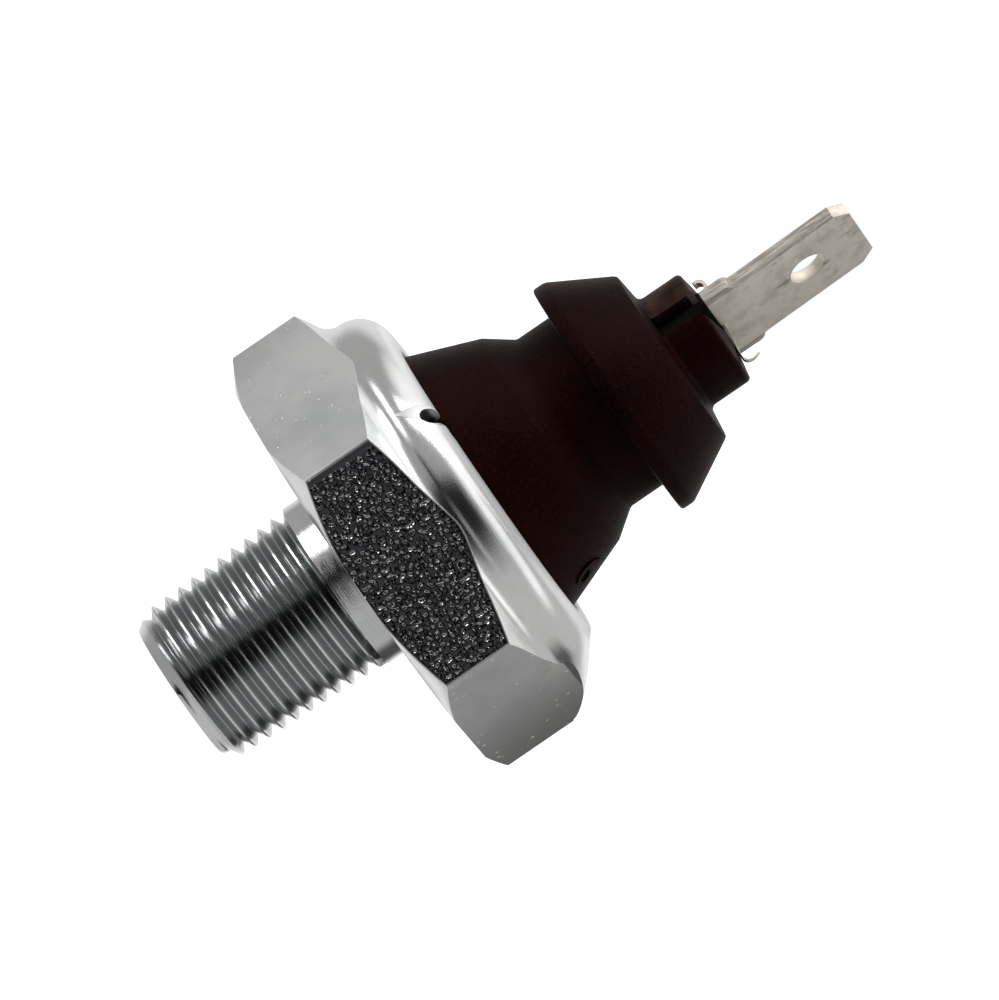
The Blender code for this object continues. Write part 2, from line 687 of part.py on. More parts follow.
# Stamped tab: blade, wide foot in the boss's slot, narrow tail, and two ears turned up from the foot
def build_terminal_blade():
    tin = make_material("tinned_brass", (0.62, 0.59, 0.53), 0.4, 1.0)
    blade = extruded("terminal_blade", blade_outline(), BLADE_THICKNESS, tin)
    bm = bmesh.new()
    bm.from_mesh(blade.data)
    geometry = bm.verts[:] + bm.edges[:] + bm.faces[:]
    bmesh.ops.bisect_plane(bm, geom=geometry, plane_co=(0, 0, Z_FOOT), plane_no=(0, 0, 1))
    lean = math.tan(math.radians(BLADE_LEAN_DEG))
    for vert in bm.verts:
        vert.co.y += max(vert.co.z - Z_FOOT, 0.0) * lean
    bm.to_mesh(blade.data)
    bm.free()
    turn = math.radians(BLADE_TURN_DEG)
    blade.rotation_euler = (0, 0, turn)
    for side in (0, 1):
        ear = extruded(f"ear_former_{side + 1}", ear_outline(), EAR_WIDTH, None)
        ear.rotation_euler = (0, 0, turn + math.pi / 2 + side * math.pi)
        combine(blade, ear, "UNION")
    half = BLADE_THICKNESS / 2
    radius = BLADE_HOLE_DIAMETER / 2
    flare = radius + BLADE_HOLE_CHAMFER
    beyond = half + BLADE_HOLE_CHAMFER
    hole = turned(
        "blade_hole_cutter",
        [
            (0.0, -beyond),
            (flare + BLADE_HOLE_CHAMFER, -beyond),
            (radius, -half + BLADE_HOLE_CHAMFER),
            (radius, half - BLADE_HOLE_CHAMFER),
            (flare + BLADE_HOLE_CHAMFER, beyond),
            (0.0, beyond),
        ],
        None,
        SMALL_STEPS,
    )
    height = Z_BLADE_TIP - BLADE_HOLE_FROM_TIP
    shift = (height - Z_FOOT) * lean
    leaning = Matrix.Rotation(math.radians(90 - BLADE_LEAN_DEG), 4, "X")
    placing = Matrix.Rotation(turn, 4, "Z") @ Matrix.Translation(Vector((0, shift, height)))
    hole.matrix_world = placing @ leaning
    combine(blade, hole, "DIFFERENCE")
    return blade


def main():
    clear_scene()
    build_hex_body()
    build_seal_ring()
    build_diaphragm()
    build_contact_ring()
    build_base_gasket()
    build_plunger()
    build_moving_contact()
    build_contact_spring()
    build_spring_cup()
    build_setting_screw()
    build_screw_bush()
    build_insulator()
    build_terminal_blade()


main()
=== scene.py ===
import json
import math

import bmesh
import bpy
from mathutils import Matrix, Vector, noise

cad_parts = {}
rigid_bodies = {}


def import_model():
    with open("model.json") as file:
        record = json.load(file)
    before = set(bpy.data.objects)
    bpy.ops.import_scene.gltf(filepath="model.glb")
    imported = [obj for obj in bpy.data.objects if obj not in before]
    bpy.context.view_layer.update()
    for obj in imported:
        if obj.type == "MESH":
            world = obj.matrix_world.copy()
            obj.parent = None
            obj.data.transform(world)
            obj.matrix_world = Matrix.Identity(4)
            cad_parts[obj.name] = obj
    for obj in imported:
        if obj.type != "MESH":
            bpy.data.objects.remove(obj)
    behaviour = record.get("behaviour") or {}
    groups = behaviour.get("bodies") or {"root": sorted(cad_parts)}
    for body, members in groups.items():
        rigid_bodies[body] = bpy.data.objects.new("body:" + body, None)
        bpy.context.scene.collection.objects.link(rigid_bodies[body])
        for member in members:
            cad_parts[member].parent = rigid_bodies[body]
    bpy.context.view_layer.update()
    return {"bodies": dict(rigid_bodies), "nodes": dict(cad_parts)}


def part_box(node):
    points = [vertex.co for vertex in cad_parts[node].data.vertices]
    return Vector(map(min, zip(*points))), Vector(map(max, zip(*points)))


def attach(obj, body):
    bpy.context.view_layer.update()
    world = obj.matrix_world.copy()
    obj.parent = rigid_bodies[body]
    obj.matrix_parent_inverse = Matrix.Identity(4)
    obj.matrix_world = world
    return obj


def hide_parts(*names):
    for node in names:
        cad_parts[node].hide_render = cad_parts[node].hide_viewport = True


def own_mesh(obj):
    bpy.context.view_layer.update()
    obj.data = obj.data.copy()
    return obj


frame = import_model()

# Oil pressure sender: plated steel body, moulded brown insulator, tinned blade terminal.
# Sizes in the dictionaries are millimetres, and mm turns them into metres.

mm = 0.001
keepObjects = set(frame["nodes"].values()) | set(frame["bodies"].values())
for old in list(bpy.data.objects):
    if old not in keepObjects:
        bpy.data.objects.remove(old, do_unlink=True)

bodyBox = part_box("hex_body")
lipTop = bodyBox[1].z / mm
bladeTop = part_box("terminal_blade")[1].z / mm
flatDistance = bodyBox[1].y / mm      # centre to a flat
cornerRadius = bodyBox[1].x / mm      # centre to a corner
print("frame loaded: lip at", round(lipTop, 3), "mm, blade tip at", round(bladeTop, 3), "mm")


# Small helpers for meshes

def arcPoints(centre, radius, startDeg, endDeg, steps):
    points = []
    for i in range(steps + 1):
        angle = math.radians(startDeg + (endDeg - startDeg) * i / steps)
        points.append((centre[0] + radius * math.cos(angle), centre[1] + radius * math.sin(angle)))
    return points


def smooth(value, low, high):
    share = min(max((value - low) / (high - low), 0.0), 1.0)
    return share * share * (3 - 2 * share)


def turnAbout(bm, degrees, axis="Z"):
    matrix = Matrix.Rotation(math.radians(degrees), 3, axis)
    bmesh.ops.rotate(bm, verts=bm.verts, cent=(0, 0, 0), matrix=matrix)


# Spins an outline of (radius, height) points all the way round the axis
def spinOutline(bm, outline, steps):
    verts = [bm.verts.new((radius * mm, 0.0, height * mm)) for radius, height in outline]
    edges = [bm.edges.new(pair) for pair in zip(verts, verts[1:]) if pair[0].co.x > 0 or pair[1].co.x > 0]
    bmesh.ops.spin(
        bm, geom=verts + edges, cent=(0, 0, 0), axis=(0, 0, 1), dvec=(0, 0, 0),
        angle=2 * math.pi, steps=steps, use_merge=True,
    )
    bmesh.ops.remove_doubles(bm, verts=bm.verts, dist=1e-7)
    bmesh.ops.recalc_face_normals(bm, faces=bm.faces)


# Extrudes faces by a vector, in metres
def extrudeBy(bm, faces, vector):
    grown = bmesh.ops.extrude_face_region(bm, geom=faces)
    moved = [item for item in grown["geom"] if isinstance(item, bmesh.types.BMVert)]
    bmesh.ops.translate(bm, verts=moved, vec=vector)
    bmesh.ops.recalc_face_normals(bm, faces=bm.faces)


# Extrudes an outline of (across, height) points along Y, centred, then turns it about the axis
def slab(name, outline, depth, turnDeg=0.0):
    bm = bmesh.new()
    points = [(across * mm, -depth / 2 * mm, height * mm) for across, height in outline]
    extrudeBy(bm, [bm.faces.new([bm.verts.new(point) for point in points])], (0, depth * mm, 0))
    turnAbout(bm, turnDeg)
    return makeObject(name, bm, None)


# Sweeps a flat strip along stations of (away, height, width, thickness), away from the blade along -Y
def strip(name, stations):
    places = []
    for i, (away, height, width, thickness) in enumerate(stations):
        before, after = stations[max(i - 1, 0)], stations[min(i + 1, len(stations) - 1)]
        along = Vector((0, before[0] - after[0], after[1] - before[1])).normalized()
        across = along.cross(Vector((1, 0, 0)))
        turned = Matrix((Vector((1, 0, 0)) * width * mm, across * thickness * mm, along))
        turned = turned.transposed().to_4x4()
        turned.translation = Vector((0, -away, height)) * mm
        places.append(turned)
    bm = bmesh.new()
    bmesh.ops.create_grid(bm, x_segments=1, y_segments=1, size=0.5, matrix=places[0])
    face = bm.faces[:][0]
    for before, after in zip(places, places[1:]):
        grown = bmesh.ops.extrude_face_region(bm, geom=[face])["geom"]
        face = [item for item in grown if isinstance(item, bmesh.types.BMFace)][0]
        bmesh.ops.transform(bm, matrix=after @ before.inverted(), verts=face.verts)
    bmesh.ops.recalc_face_normals(bm, faces=bm.faces)
    return makeObject(name, bm, None)


def makeObject(name, bm, material, sharpDeg=35):
    mesh = bpy.data.meshes.new(name)
    bm.to_mesh(mesh)
    bm.free()
    mesh.shade_smooth()
    mesh.set_sharp_from_angle(angle=math.radians(sharpDeg))
    obj = bpy.data.objects.new(name, mesh)
    bpy.context.scene.collection.objects.link(obj)
    if material is not None:
        mesh.materials.append(material)
    return obj


# Cuts or joins with helper meshes, then drops the helpers
def carve(obj, tools, operation, sharpDeg=35):
    for tool in tools:
        change = obj.modifiers.new(tool.name, "BOOLEAN")
        change.operation = operation
        change.solver = "EXACT"
        change.object = tool
    bpy.context.view_layer.update()
    graph = bpy.context.evaluated_depsgraph_get()
    carved = bpy.data.meshes.new_from_object(obj.evaluated_get(graph))
    obj.modifiers.clear()
    plain = obj.data
    obj.data = carved
    bpy.data.meshes.remove(plain)
    carved.name = obj.name
    carved.shade_smooth()
    carved.set_sharp_from_angle(angle=math.radians(sharpDeg))
    for tool in tools:
        bpy.data.objects.remove(tool, do_unlink=True)


def place(obj, node):
    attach(obj, "housing")
    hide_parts(node)
    print(obj.name, "ready,", len(obj.data.polygons), "faces")


# Shader maths: a wrapped socket, whose operators add Math nodes

class Shade:
    def __init__(self, tree, out):
        self.tree = tree
        self.out = out

    def make(self, kind, settings, sockets, output=0):
        node = self.tree.nodes.new(kind)
        for key, value in settings.items():
            setattr(node, key, value)
        for key, value in sockets.items():
            if isinstance(value, Shade):
                self.tree.links.new(value.out, node.inputs[key])
            else:
                node.inputs[key].default_value = value
        return Shade(self.tree, node.outputs[output])

    def math(self, operation, first, second=0.0):
        return self.make("ShaderNodeMath", {"operation": operation}, {0: first, 1: second})

    def __add__(self, other):
        return self.math("ADD", self, other)

    def __radd__(self, other):
        return self.math("ADD", other, self)

    def __sub__(self, other):
        return self.math("SUBTRACT", self, other)

    def __rsub__(self, other):
        return self.math("SUBTRACT", other, self)

    def __mul__(self, other):
        return self.math("MULTIPLY", self, other)

    def __rmul__(self, other):
        return self.math("MULTIPLY", other, self)

    def __pow__(self, other):
        return self.math("POWER", self, other)

    def __abs__(self):
        return self.math("ABSOLUTE", self)

    def most(self, other):
        return self.math("MAXIMUM", self, other)

    def rise(self, low, high):    # 0 below low, 1 above high, smooth between
        return self.make(
            "ShaderNodeMapRange", {"interpolation_type": "SMOOTHSTEP"},
            {"Value": self, "From Min": low, "From Max": high},
        )

    def between(self, low, high, soft):
        return self.rise(low - soft, low + soft) * (1 - self.rise(high - soft, high + soft))

    def part(self, axis):
        return self.make("ShaderNodeSeparateXYZ", {}, {"Vector": self}, "XYZ".index(axis))

    def turned(self, degrees, scale=(1, 1, 1)):
        return self.make(
            "ShaderNodeMapping", {},
            {"Vector": self, "Rotation": (0, 0, math.radians(degrees)), "Scale": scale},
        )

    def grain(self, size, detail=2.0, rough=0.5, seed=0.0):    # size is the grain's, in mm
        return self.make(
            "ShaderNodeTexNoise", {"noise_dimensions": "4D"},
            {"Vector": self, "W": seed, "Scale": 1 / (size * mm), "Detail": detail, "Roughness": rough},
        )

    def cells(self, size):    # distance to the middle of each cell, in cells
        return self.make("ShaderNodeTexVoronoi", {}, {"Vector": self, "Scale": 1 / (size * mm)})

    def tint(self, low, high):    # mixes two colours by this value
        return self.make(
            "ShaderNodeMix", {"data_type": "RGBA"},
            {"Factor": self, 6: low if isinstance(low, Shade) else (*low, 1.0),
             7: high if isinstance(high, Shade) else (*high, 1.0)}, 2,
        )


def newFinish(name, metallic, **fixed):
    material = bpy.data.materials.new(name)
    material.use_nodes = True
    tree = material.node_tree
    shader = tree.nodes["Principled BSDF"]
    shader.inputs["Metallic"].default_value = metallic
    for key, value in fixed.items():
        shader.inputs[key.replace("_", " ")].default_value = value
    start = Shade(tree, None)
    spot = start.make("ShaderNodeTexCoord", {}, {}, 3)
    return material, shader, spot


def finishWith(shader, colour, roughness, height, depth):
    tree = roughness.tree
    tree.links.new(colour.out, shader.inputs["Base Color"])
    tree.links.new(roughness.out, shader.inputs["Roughness"])
    bump = colour.make("ShaderNodeBump", {}, {"Height": height, "Distance": depth * mm, "Strength": 1.0})
    tree.links.new(bump.out, shader.inputs["Normal"])


# Steel body: helical taper thread, hexagon with turned chamfers, crimped collar

body = {
    "threadLength": 10.5, "threadDiameter": 10.38, "threadTaper": 0.0625, "pitch": 0.918,
    "threadDepth": 0.57, "crestWidth": 0.10, "rootWidth": 0.12, "rootRound": 0.02,
    "crestHeightLeft": 9.64, "crestTurnDeg": 174.3, "threadSteps": 120, "runOut": 0.06,
    "tipRadius": 4.15, "tipChamferSlope": 0.78,
    "shankDiameter": 10.5, "shankEdge": 0.15, "seatHeight": 12.1, "seatRadius": 12.2,
    "lowerChamferDeg": 30.0,
    "cornerHeight": 17.23, "upperChamferDeg": 28.0, "collarRadius": 11.97, "collarFillet": 1.2,
    "lipRound": 2.09, "lipOpening": 8.69, "lipEdge": 0.25, "lipThickness": 1.1,
    "cupRadius": 10.59, "cupRound": 0.71, "floorHeight": 14.6, "grooveOuter": 9.79, "grooveInner": 7.99,
    "grooveFloor": 13.1, "chamberRadius": 6.39, "chamberFloor": 13.9, "boreRadius": 1.5, "boreChamfer": 0.3,
    "steps": 240, "edgeRound": 0.15,
}
upperTurn = math.radians(body["upperChamferDeg"])
upperSlope = math.tan(upperTurn)
lowerSlope = math.tan(math.radians(body["lowerChamferDeg"]))
filletEnd = body["collarRadius"] + body["collarFillet"] * (1 - math.sin(upperTurn))
collarStart = body["cornerHeight"] + (cornerRadius - filletEnd) * upperSlope
collarStart += body["collarFillet"] * math.cos(upperTurn)


# Height of the upper chamfer and its fillet, in mm: over is how far the radius is past the fillet
def chamferHeight(radius, over):
    inward = body["collarRadius"] + body["collarFillet"] - radius + over
    return collarStart - (body["collarFillet"] ** 2 - inward * inward) ** 0.5 - over * upperSlope


# One corner of the hexagon, at +X, is fuller: the crimp above it and the chamfer below it
fuller = {
    "lipRadius": 9.98, "reach": 3.81, "curve": 1.35, "fullDeg": 8.0, "endDeg": 36.0,
    "startRadius": 9.9, "startAbove": 0.05, "clearOfCup": 0.1, "seatOut": 0.5, "edgeBand": 2.0,
}

# The flat towards the camera is pebbled, short of its edges
pebbles = {
    "spacing": 0.052, "size": 0.19, "depth": 0.06, "leftMargin": 0.4, "rightMargin": 0.12,
    "rimMargin": 0.05, "fade": 0.16, "low": 0.08, "high": 0.42, "sink": 0.15,
}


# Zinc-plated steel: satin turning, matt wrench flats, thread grooves and a pebbled flat. Painted shade
# darkens the grooves (with oil-dulled plating), the right-hand flats and the pebbled ground; painted
# highlights lighten the pebble walls, the flake by the nick, the lip and sparks on the flats.
# Names in Mm are grain sizes; names in From, To and Top are places along an axis, in mm.

zinc = {
    "bright": (0.80, 0.80, 0.79), "dull": (0.64, 0.65, 0.65), "warm": (0.72, 0.68, 0.60),
    "groove": (0.40, 0.415, 0.42), "shaded": (0.34, 0.34, 0.33), "flakeAndGlint": (0.94, 0.94, 0.93),
    "pebbleGroundShade": (0.09, 0.092, 0.10), "pebbleWallHighlight": (0.80, 0.80, 0.80), "steep": (0.03, 0.22),
    "roughTurned": 0.15, "roughThread": 0.12, "roughFlat": 0.46, "roughPebbled": 0.11,
    "roughLip": 0.6, "bumpDepth": 0.05, "cloudMm": 5.5, "stainMm": 2.4, "fineMm": 0.09,
    "gritMm": 0.3, "streakMm": 1.6, "ringMm": 0.11, "sparkMm": 0.8, "threadTop": 10.42,
    "shankTop": 12.0, "flatTop": 18.8, "shadeFrom": 8.6, "shadeTo": 14.2, "lipFrom": 20.55,
    "lipTo": 20.95,
}


def zincFinish():
    material, shader, spot = newFinish("zincSteel", 1.0)
    x, y, z = spot.part("X"), spot.part("Y"), spot.part("Z")
    radius = (x * x + y * y) ** 0.5
    across = abs(y)
    for turn in (60, 120):
        c, s = math.cos(math.radians(turn)), math.sin(math.radians(turn))
        across = across.most(abs(x * s + y * c))
    edge = (flatDistance - 0.012) * mm
    wide = radius * (1 / mm)
    coneGap = (chamferHeight(wide, (wide - filletEnd).most(0.0)) - z * (1 / mm)) * mm
    seatGap = z - (body["seatHeight"] - body["seatRadius"] * lowerSlope) * mm - radius * lowerSlope
    reach = (cornerRadius / 2 - pebbles["rightMargin"]) * mm
    coarse = (0 - y).rise((flatDistance - 0.4) * mm, (flatDistance - 0.35) * mm)
    coarse = coarse * coneGap.rise(0.03 * mm, 0.12 * mm) * seatGap.rise(0.03 * mm, 0.12 * mm)
    coarse = coarse * x.between(-reach, reach, 0.04 * mm)
    belowCollar = 1 - z.rise(zinc["flatTop"] * mm, (zinc["flatTop"] + 0.1) * mm)
    onFlat = across.rise(edge, edge + 0.008 * mm) * belowCollar * (1 - coarse)
    paintedShadeRight = onFlat * x.rise(zinc["shadeFrom"] * mm, zinc["shadeTo"] * mm)
    crest = (body["threadDiameter"] / 2 - body["threadLength"] * body["threadTaper"] / 2) * mm
    depth = crest + z * (body["threadTaper"] / 2) - radius
    inThread = 1 - z.rise(zinc["threadTop"] * mm, (zinc["threadTop"] + 0.06) * mm)
    groove = inThread * depth.rise(0.03 * mm, 0.22 * mm) * z.rise(0.5 * mm, 1.0 * mm)
    onShank = (1 - inThread) * (1 - z.rise(zinc["shankTop"] * mm, (zinc["shankTop"] + 0.1) * mm))
    turn = spot.math("ARCTAN2", y, x)
    arc = (turn - math.radians(nick["flakeDeg"])) * (body["collarRadius"] * mm)
    flakeEnd = (z - nick["flakeLow"] * mm) * nick["flakeSlope"]
    flakeFoot, flakeWidth = nick["flakeFoot"] * mm, nick["flakeWidth"] * mm
    flakeAndGlint = arc.rise(0.0, 0.04 * mm) * (1 - (arc - flakeEnd).rise(0.0, 0.05 * mm))
    flakeAndGlint = flakeAndGlint * z.rise(flakeFoot, flakeFoot + 0.1 * mm)
    flakeAndGlint = flakeAndGlint * (1 - arc.rise(flakeWidth, flakeWidth + 0.1 * mm))
    onLip = z.rise(zinc["lipFrom"] * mm, zinc["lipTo"] * mm)
    cloud = spot.grain(zinc["cloudMm"], 3.0, 0.6, 7.0)
    stain = spot.grain(zinc["stainMm"], 4.0, 0.65, 11.0)
    fine = spot.grain(zinc["fineMm"], 2.0, 0.5, 3.0)
    grit = spot.grain(zinc["gritMm"], 2.0, 0.5, 1.0)
    streaks = spot.turned(0, (1, 1, 14)).grain(zinc["streakMm"], 3.0, 0.6, 5.0)
    onAxis = z.make("ShaderNodeCombineXYZ", {}, {"X": 0.0, "Y": 0.0, "Z": z})
    rings = onAxis.grain(zinc["ringMm"], 2.0, 0.7, 5.0)
    sparks = 1 - spot.cells(zinc["sparkMm"]).rise(0.03, 0.16)
    colour = cloud.rise(0.35, 0.7).tint(zinc["bright"], zinc["dull"])
    colour = (stain.rise(0.56, 0.72) * 0.5).tint(colour, zinc["warm"])
    # Painted shade: the wrench flats grow darker towards +X.
    colour = paintedShadeRight.tint(colour, zinc["shaded"])
    # Painted highlight: the flake beside the nick, the lip's top and the sparks on the flats are lightened
    # towards a near-white colour.
    colour = (flakeAndGlint * 0.9).most(onLip * 0.6).most(sparks * onFlat).tint(colour, zinc["flakeAndGlint"])
    # Partly oil-dulled plating, partly painted shade: the thread flanks and roots are darker below the
    # crest.
    colour = groove.tint(colour, zinc["groove"])
    # Painted shade and painted highlight on the pebbled flat: its ground, facing -Y, is near black and its
    # steep walls near white.
    steep = 1 - abs(spot.make("ShaderNodeTexCoord", {}, {}, 1).part("Y"))
    colour = coarse.tint(colour, steep.rise(*zinc["steep"]).tint(zinc["pebbleGroundShade"], zinc["pebbleWallHighlight"]))
    roughness = zinc["roughTurned"] + 0.08 * cloud + onFlat * (zinc["roughFlat"] - zinc["roughTurned"])
    roughness = roughness + inThread * (zinc["roughThread"] - zinc["roughTurned"])
    roughness = roughness + onLip * (zinc["roughLip"] - zinc["roughTurned"])
    roughness = roughness + coarse * (zinc["roughPebbled"] - zinc["roughTurned"]) + flakeAndGlint * 0.15
    roughness = roughness - onShank * 0.07 - sparks * onFlat * 0.25
    turned = (1 - onFlat) * (1 - coarse) * (1 - inThread)
    height = onFlat * (grit * 0.25 - sparks * 0.7) + fine * 0.08 + coarse * grit * 0.15
    height = height + turned * streaks * 0.12 + onShank * rings * 0.3
    height = height + flakeAndGlint * arc * nick["flakeTilt"]
    finishWith(shader, colour, roughness, height, zinc["bumpDepth"])
    return material


def threadMesh():
    bm = bmesh.new()
    pitch, steps = body["pitch"], body["threadSteps"]
    crest = body["threadDiameter"] / 2
    root = crest - body["threadDepth"]
    flank = (pitch - body["crestWidth"] - body["rootWidth"]) / 2
    turns = math.ceil(body["threadLength"] / pitch) + 3
    start = body["crestHeightLeft"] - body["crestWidth"] / 2 - pitch * body["crestTurnDeg"] / 360
    start -= pitch * (math.floor(start / pitch) + 2)
    rootStart = body["crestWidth"] + flank
    outline = [
        (crest, 0.0), (crest, body["crestWidth"]), (root, rootStart),
        (root - body["rootRound"], rootStart + body["rootWidth"] / 2),
        (root, rootStart + body["rootWidth"]), (crest, pitch),
    ]
    verts = [bm.verts.new((radius * mm, 0.0, (start + height) * mm)) for radius, height in outline]
    edges = [bm.edges.new(pair) for pair in zip(verts, verts[1:])]
    bmesh.ops.spin(
        bm, geom=verts + edges, cent=(0, 0, 0), axis=(0, 0, 1), dvec=(0, 0, pitch * mm / steps),
        angle=2 * math.pi * turns, steps=steps * turns, use_merge=False,
    )
    bmesh.ops.remove_doubles(bm, verts=bm.verts, dist=2e-6)
    for height, clear in ((0.0, "clear_inner"), (body["threadLength"], "clear_outer")):
        geometry = bm.verts[:] + bm.edges[:] + bm.faces[:]
        bmesh.ops.bisect_plane(
            bm, geom=geometry, dist=1e-7, plane_co=(0, 0, height * mm), plane_no=(0, 0, 1),
            **{clear: True},
        )
    for vert in bm.verts:
        height = vert.co.z / mm
        radius = vert.co.xy.length / mm
        fade = smooth(body["threadLength"] - height, 0.0, body["runOut"])
        tapered = (height - body["threadLength"]) * body["threadTaper"] / 2
        radius = crest - (crest - radius) * fade + tapered
        radius = min(radius, body["tipRadius"] + height * body["tipChamferSlope"])
        vert.co.xy = vert.co.xy.normalized() * radius * mm
    strip = bpy.data.meshes.new("threadStrip")
    bm.to_mesh(strip)
    bm.free()
    return strip


def bodyOutline():
    beyond = cornerRadius + 0.4
    upperDeg = body["upperChamferDeg"]
    collar, fillet, lip = body["collarRadius"], body["collarFillet"], body["lipRound"]
    shank, seat = body["shankDiameter"] / 2, body["seatHeight"]
    outline = [
        (shank, body["threadLength"]), (shank, seat - body["shankEdge"]), (shank + body["shankEdge"], seat),
        (body["seatRadius"], seat), (beyond, seat + (beyond - body["seatRadius"]) * lowerSlope),
    ]
    for i in range(7):
        radius = beyond + (filletEnd - beyond) * i / 7
        outline.append((radius, body["cornerHeight"] + (cornerRadius - radius) * upperSlope))
    outline += arcPoints((collar + fillet, collarStart), fillet, 270 - upperDeg, 180, 12)
    outline += arcPoints((collar - lip, lipTop - lip), lip, 0, 90, 22)
    opening, edge = body["lipOpening"], body["lipEdge"]
    outline += arcPoints((opening + edge, lipTop - edge), edge, 90, 180, 5)
    under, cup = lipTop - body["lipThickness"], body["cupRadius"]
    outline.append((opening, under))
    outline += arcPoints((cup - body["cupRound"], under - body["cupRound"]), body["cupRound"], 90, 0, 5)
    outline += [
        (cup, body["floorHeight"]), (body["grooveOuter"], body["floorHeight"]),
        (body["grooveOuter"], body["grooveFloor"]), (body["grooveInner"], body["grooveFloor"]),
        (body["grooveInner"], body["floorHeight"]), (body["chamberRadius"], body["floorHeight"]),
        (body["boreRadius"], body["chamberFloor"]), (body["boreRadius"], body["boreChamfer"]),
        (body["boreRadius"] + body["boreChamfer"], 0.0),
    ]
    return outline


def fillCorner(bm):
    low, high = body["cornerHeight"] + fuller["startAbove"], lipTop
    cupSide = body["cupRadius"] + fuller["clearOfCup"]
    cupTop = lipTop - body["lipThickness"] + fuller["clearOfCup"]
    for vert in bm.verts:
        height = vert.co.z / mm
        radius = vert.co.xy.length / mm
        turn = math.degrees(math.atan2(vert.co.y, vert.co.x))
        share = 1 - smooth(abs(turn), fuller["fullDeg"], fuller["endDeg"])
        if share <= 0:
            continue
        outside = radius > cupSide or height > cupTop
        if height > low and outside and radius > fuller["startRadius"]:
            along = (height - low) / (high - low)
            full = fuller["lipRadius"] + fuller["reach"] * (1 - along ** fuller["curve"])
            radius += (full - radius) * share
        elif abs(height - body["seatHeight"]) < 0.01 and radius > body["seatRadius"] - 0.01:
            radius += fuller["seatOut"] * share
        elif body["seatHeight"] < height < low and radius > cornerRadius:
            lower = height < low - fuller["edgeBand"]
            vert.co.z -= fuller["seatOut"] * lowerSlope * share * mm * lower
        vert.co.xy = vert.co.xy.normalized() * radius * mm


def cutFlats(bm):
    for i in range(6):
        turn = math.radians(30 + 60 * i)
        normal = Vector((math.cos(turn), math.sin(turn), 0))
        geometry = bm.verts[:] + bm.edges[:] + bm.faces[:]
        cut = bmesh.ops.bisect_plane(
            bm, geom=geometry, dist=1e-7, plane_co=normal * flatDistance * mm, plane_no=normal,
            clear_outer=True,
        )
        rim = [item for item in cut["geom_cut"] if isinstance(item, bmesh.types.BMEdge)]
        bmesh.ops.edgeloop_fill(bm, edges=rim)
    flats = [f for f in bm.faces if len(f.verts) > 30 and abs(f.normal.z) < 0.01]
    rims = {e for f in flats for e in f.edges if len(e.link_faces) == 2 and e.calc_face_angle() > 0.35}
    bevelEdges(bm, list(rims), body["edgeRound"], 3)


def bevelEdges(bm, edges, offset, segments):
    bmesh.ops.bevel(
        bm, geom=edges, offset=offset * mm, offset_type="OFFSET", affect="EDGES",
        segments=segments, profile=0.5, material=-1, clamp_overlap=True,
    )


# Cuts the front flat into a fine grid and sinks it between the pebbles
def pebbleFlat(bm):
    front = [face for face in bm.faces if face.normal.y < -0.99]
    region = [max(front, key=lambda face: face.calc_area())]
    corners = [vert.co for vert in region[0].verts]
    for axis in (2, 0):
        low, high = min(co[axis] for co in corners), max(co[axis] for co in corners)
        normal = Vector((axis == 0, 0, axis == 2))
        count = round((high - low) / (pebbles["spacing"] * mm))
        for i in range(1, count):
            geometry = list({item for face in region for item in (face, *face.edges, *face.verts)})
            cut = bmesh.ops.bisect_plane(
                bm, geom=geometry, dist=1e-7, plane_no=normal,
                plane_co=normal * (low + (high - low) * i / count),
            )
            region = [item for item in cut["geom"] if isinstance(item, bmesh.types.BMFace)]
    inside = set(region)
    half = cornerRadius / 2
    for vert in {vert for face in region for vert in face.verts}:
        if not all(face in inside for face in vert.link_faces):
            continue
        x, z, radius = vert.co.x / mm, vert.co.z / mm, vert.co.xy.length / mm
        below = chamferHeight(radius, max(radius - filletEnd, 0.0)) - z
        above = z - body["seatHeight"] - (radius - body["seatRadius"]) * lowerSlope
        share = smooth(min(below, above), pebbles["rimMargin"], pebbles["rimMargin"] + pebbles["fade"])
        share *= smooth(half + x, pebbles["leftMargin"], pebbles["leftMargin"] + pebbles["fade"])
        share *= smooth(half - x, pebbles["rightMargin"], pebbles["rightMargin"] + pebbles["fade"])
        spot = Vector((x, 0.0, z)) / pebbles["size"]
        swell = noise.noise(spot) + 0.25 * noise.noise(spot * 2.3 + Vector((7, 3, 5)))
        bump = 0.9 * smooth(swell, pebbles["low"], pebbles["high"]) + 0.1 * swell
        vert.co.y += pebbles["depth"] * share * (bump + pebbles["sink"]) * mm


def buildBody():
    bm = bmesh.new()
    spinOutline(bm, bodyOutline(), body["steps"])
    fillCorner(bm)
    cutFlats(bm)
    pebbleFlat(bm)
    thread = threadMesh()
    bm.from_mesh(thread)
    bpy.data.meshes.remove(thread)
    for height in (0.0, body["threadLength"]):
        ring = [
            edge for edge in bm.edges
            if edge.is_boundary and all(abs(vert.co.z - height * mm) < 2e-6 for vert in edge.verts)
        ]
        bmesh.ops.triangle_fill(bm, edges=ring, use_beauty=True, use_dissolve=False)
    bmesh.ops.remove_doubles(bm, verts=bm.verts, dist=2e-7)
    bmesh.ops.recalc_face_normals(bm, faces=bm.faces)
    piece = makeObject("steelBody", bm, zincFinish(), 40)
    carve(piece, [nickTool()], "DIFFERENCE", 40)
    place(piece, "hex_body")


# A torn gap through the lip, round at its outer end, and a tilted flake beside it, made bright with a
# painted highlight
nick = {
    "turnDeg": -121.4, "inner": 8.2, "outer": 11.75, "width": 1.4, "lobe": 0.42, "lobeAt": 9.3,
    "depth": 2.1, "topAbove": 0.4, "flakeDeg": -125.6, "flakeLow": 19.0, "flakeSlope": 0.85,
    "flakeFoot": 18.0, "flakeWidth": 1.5, "flakeTilt": 3500.0,
}


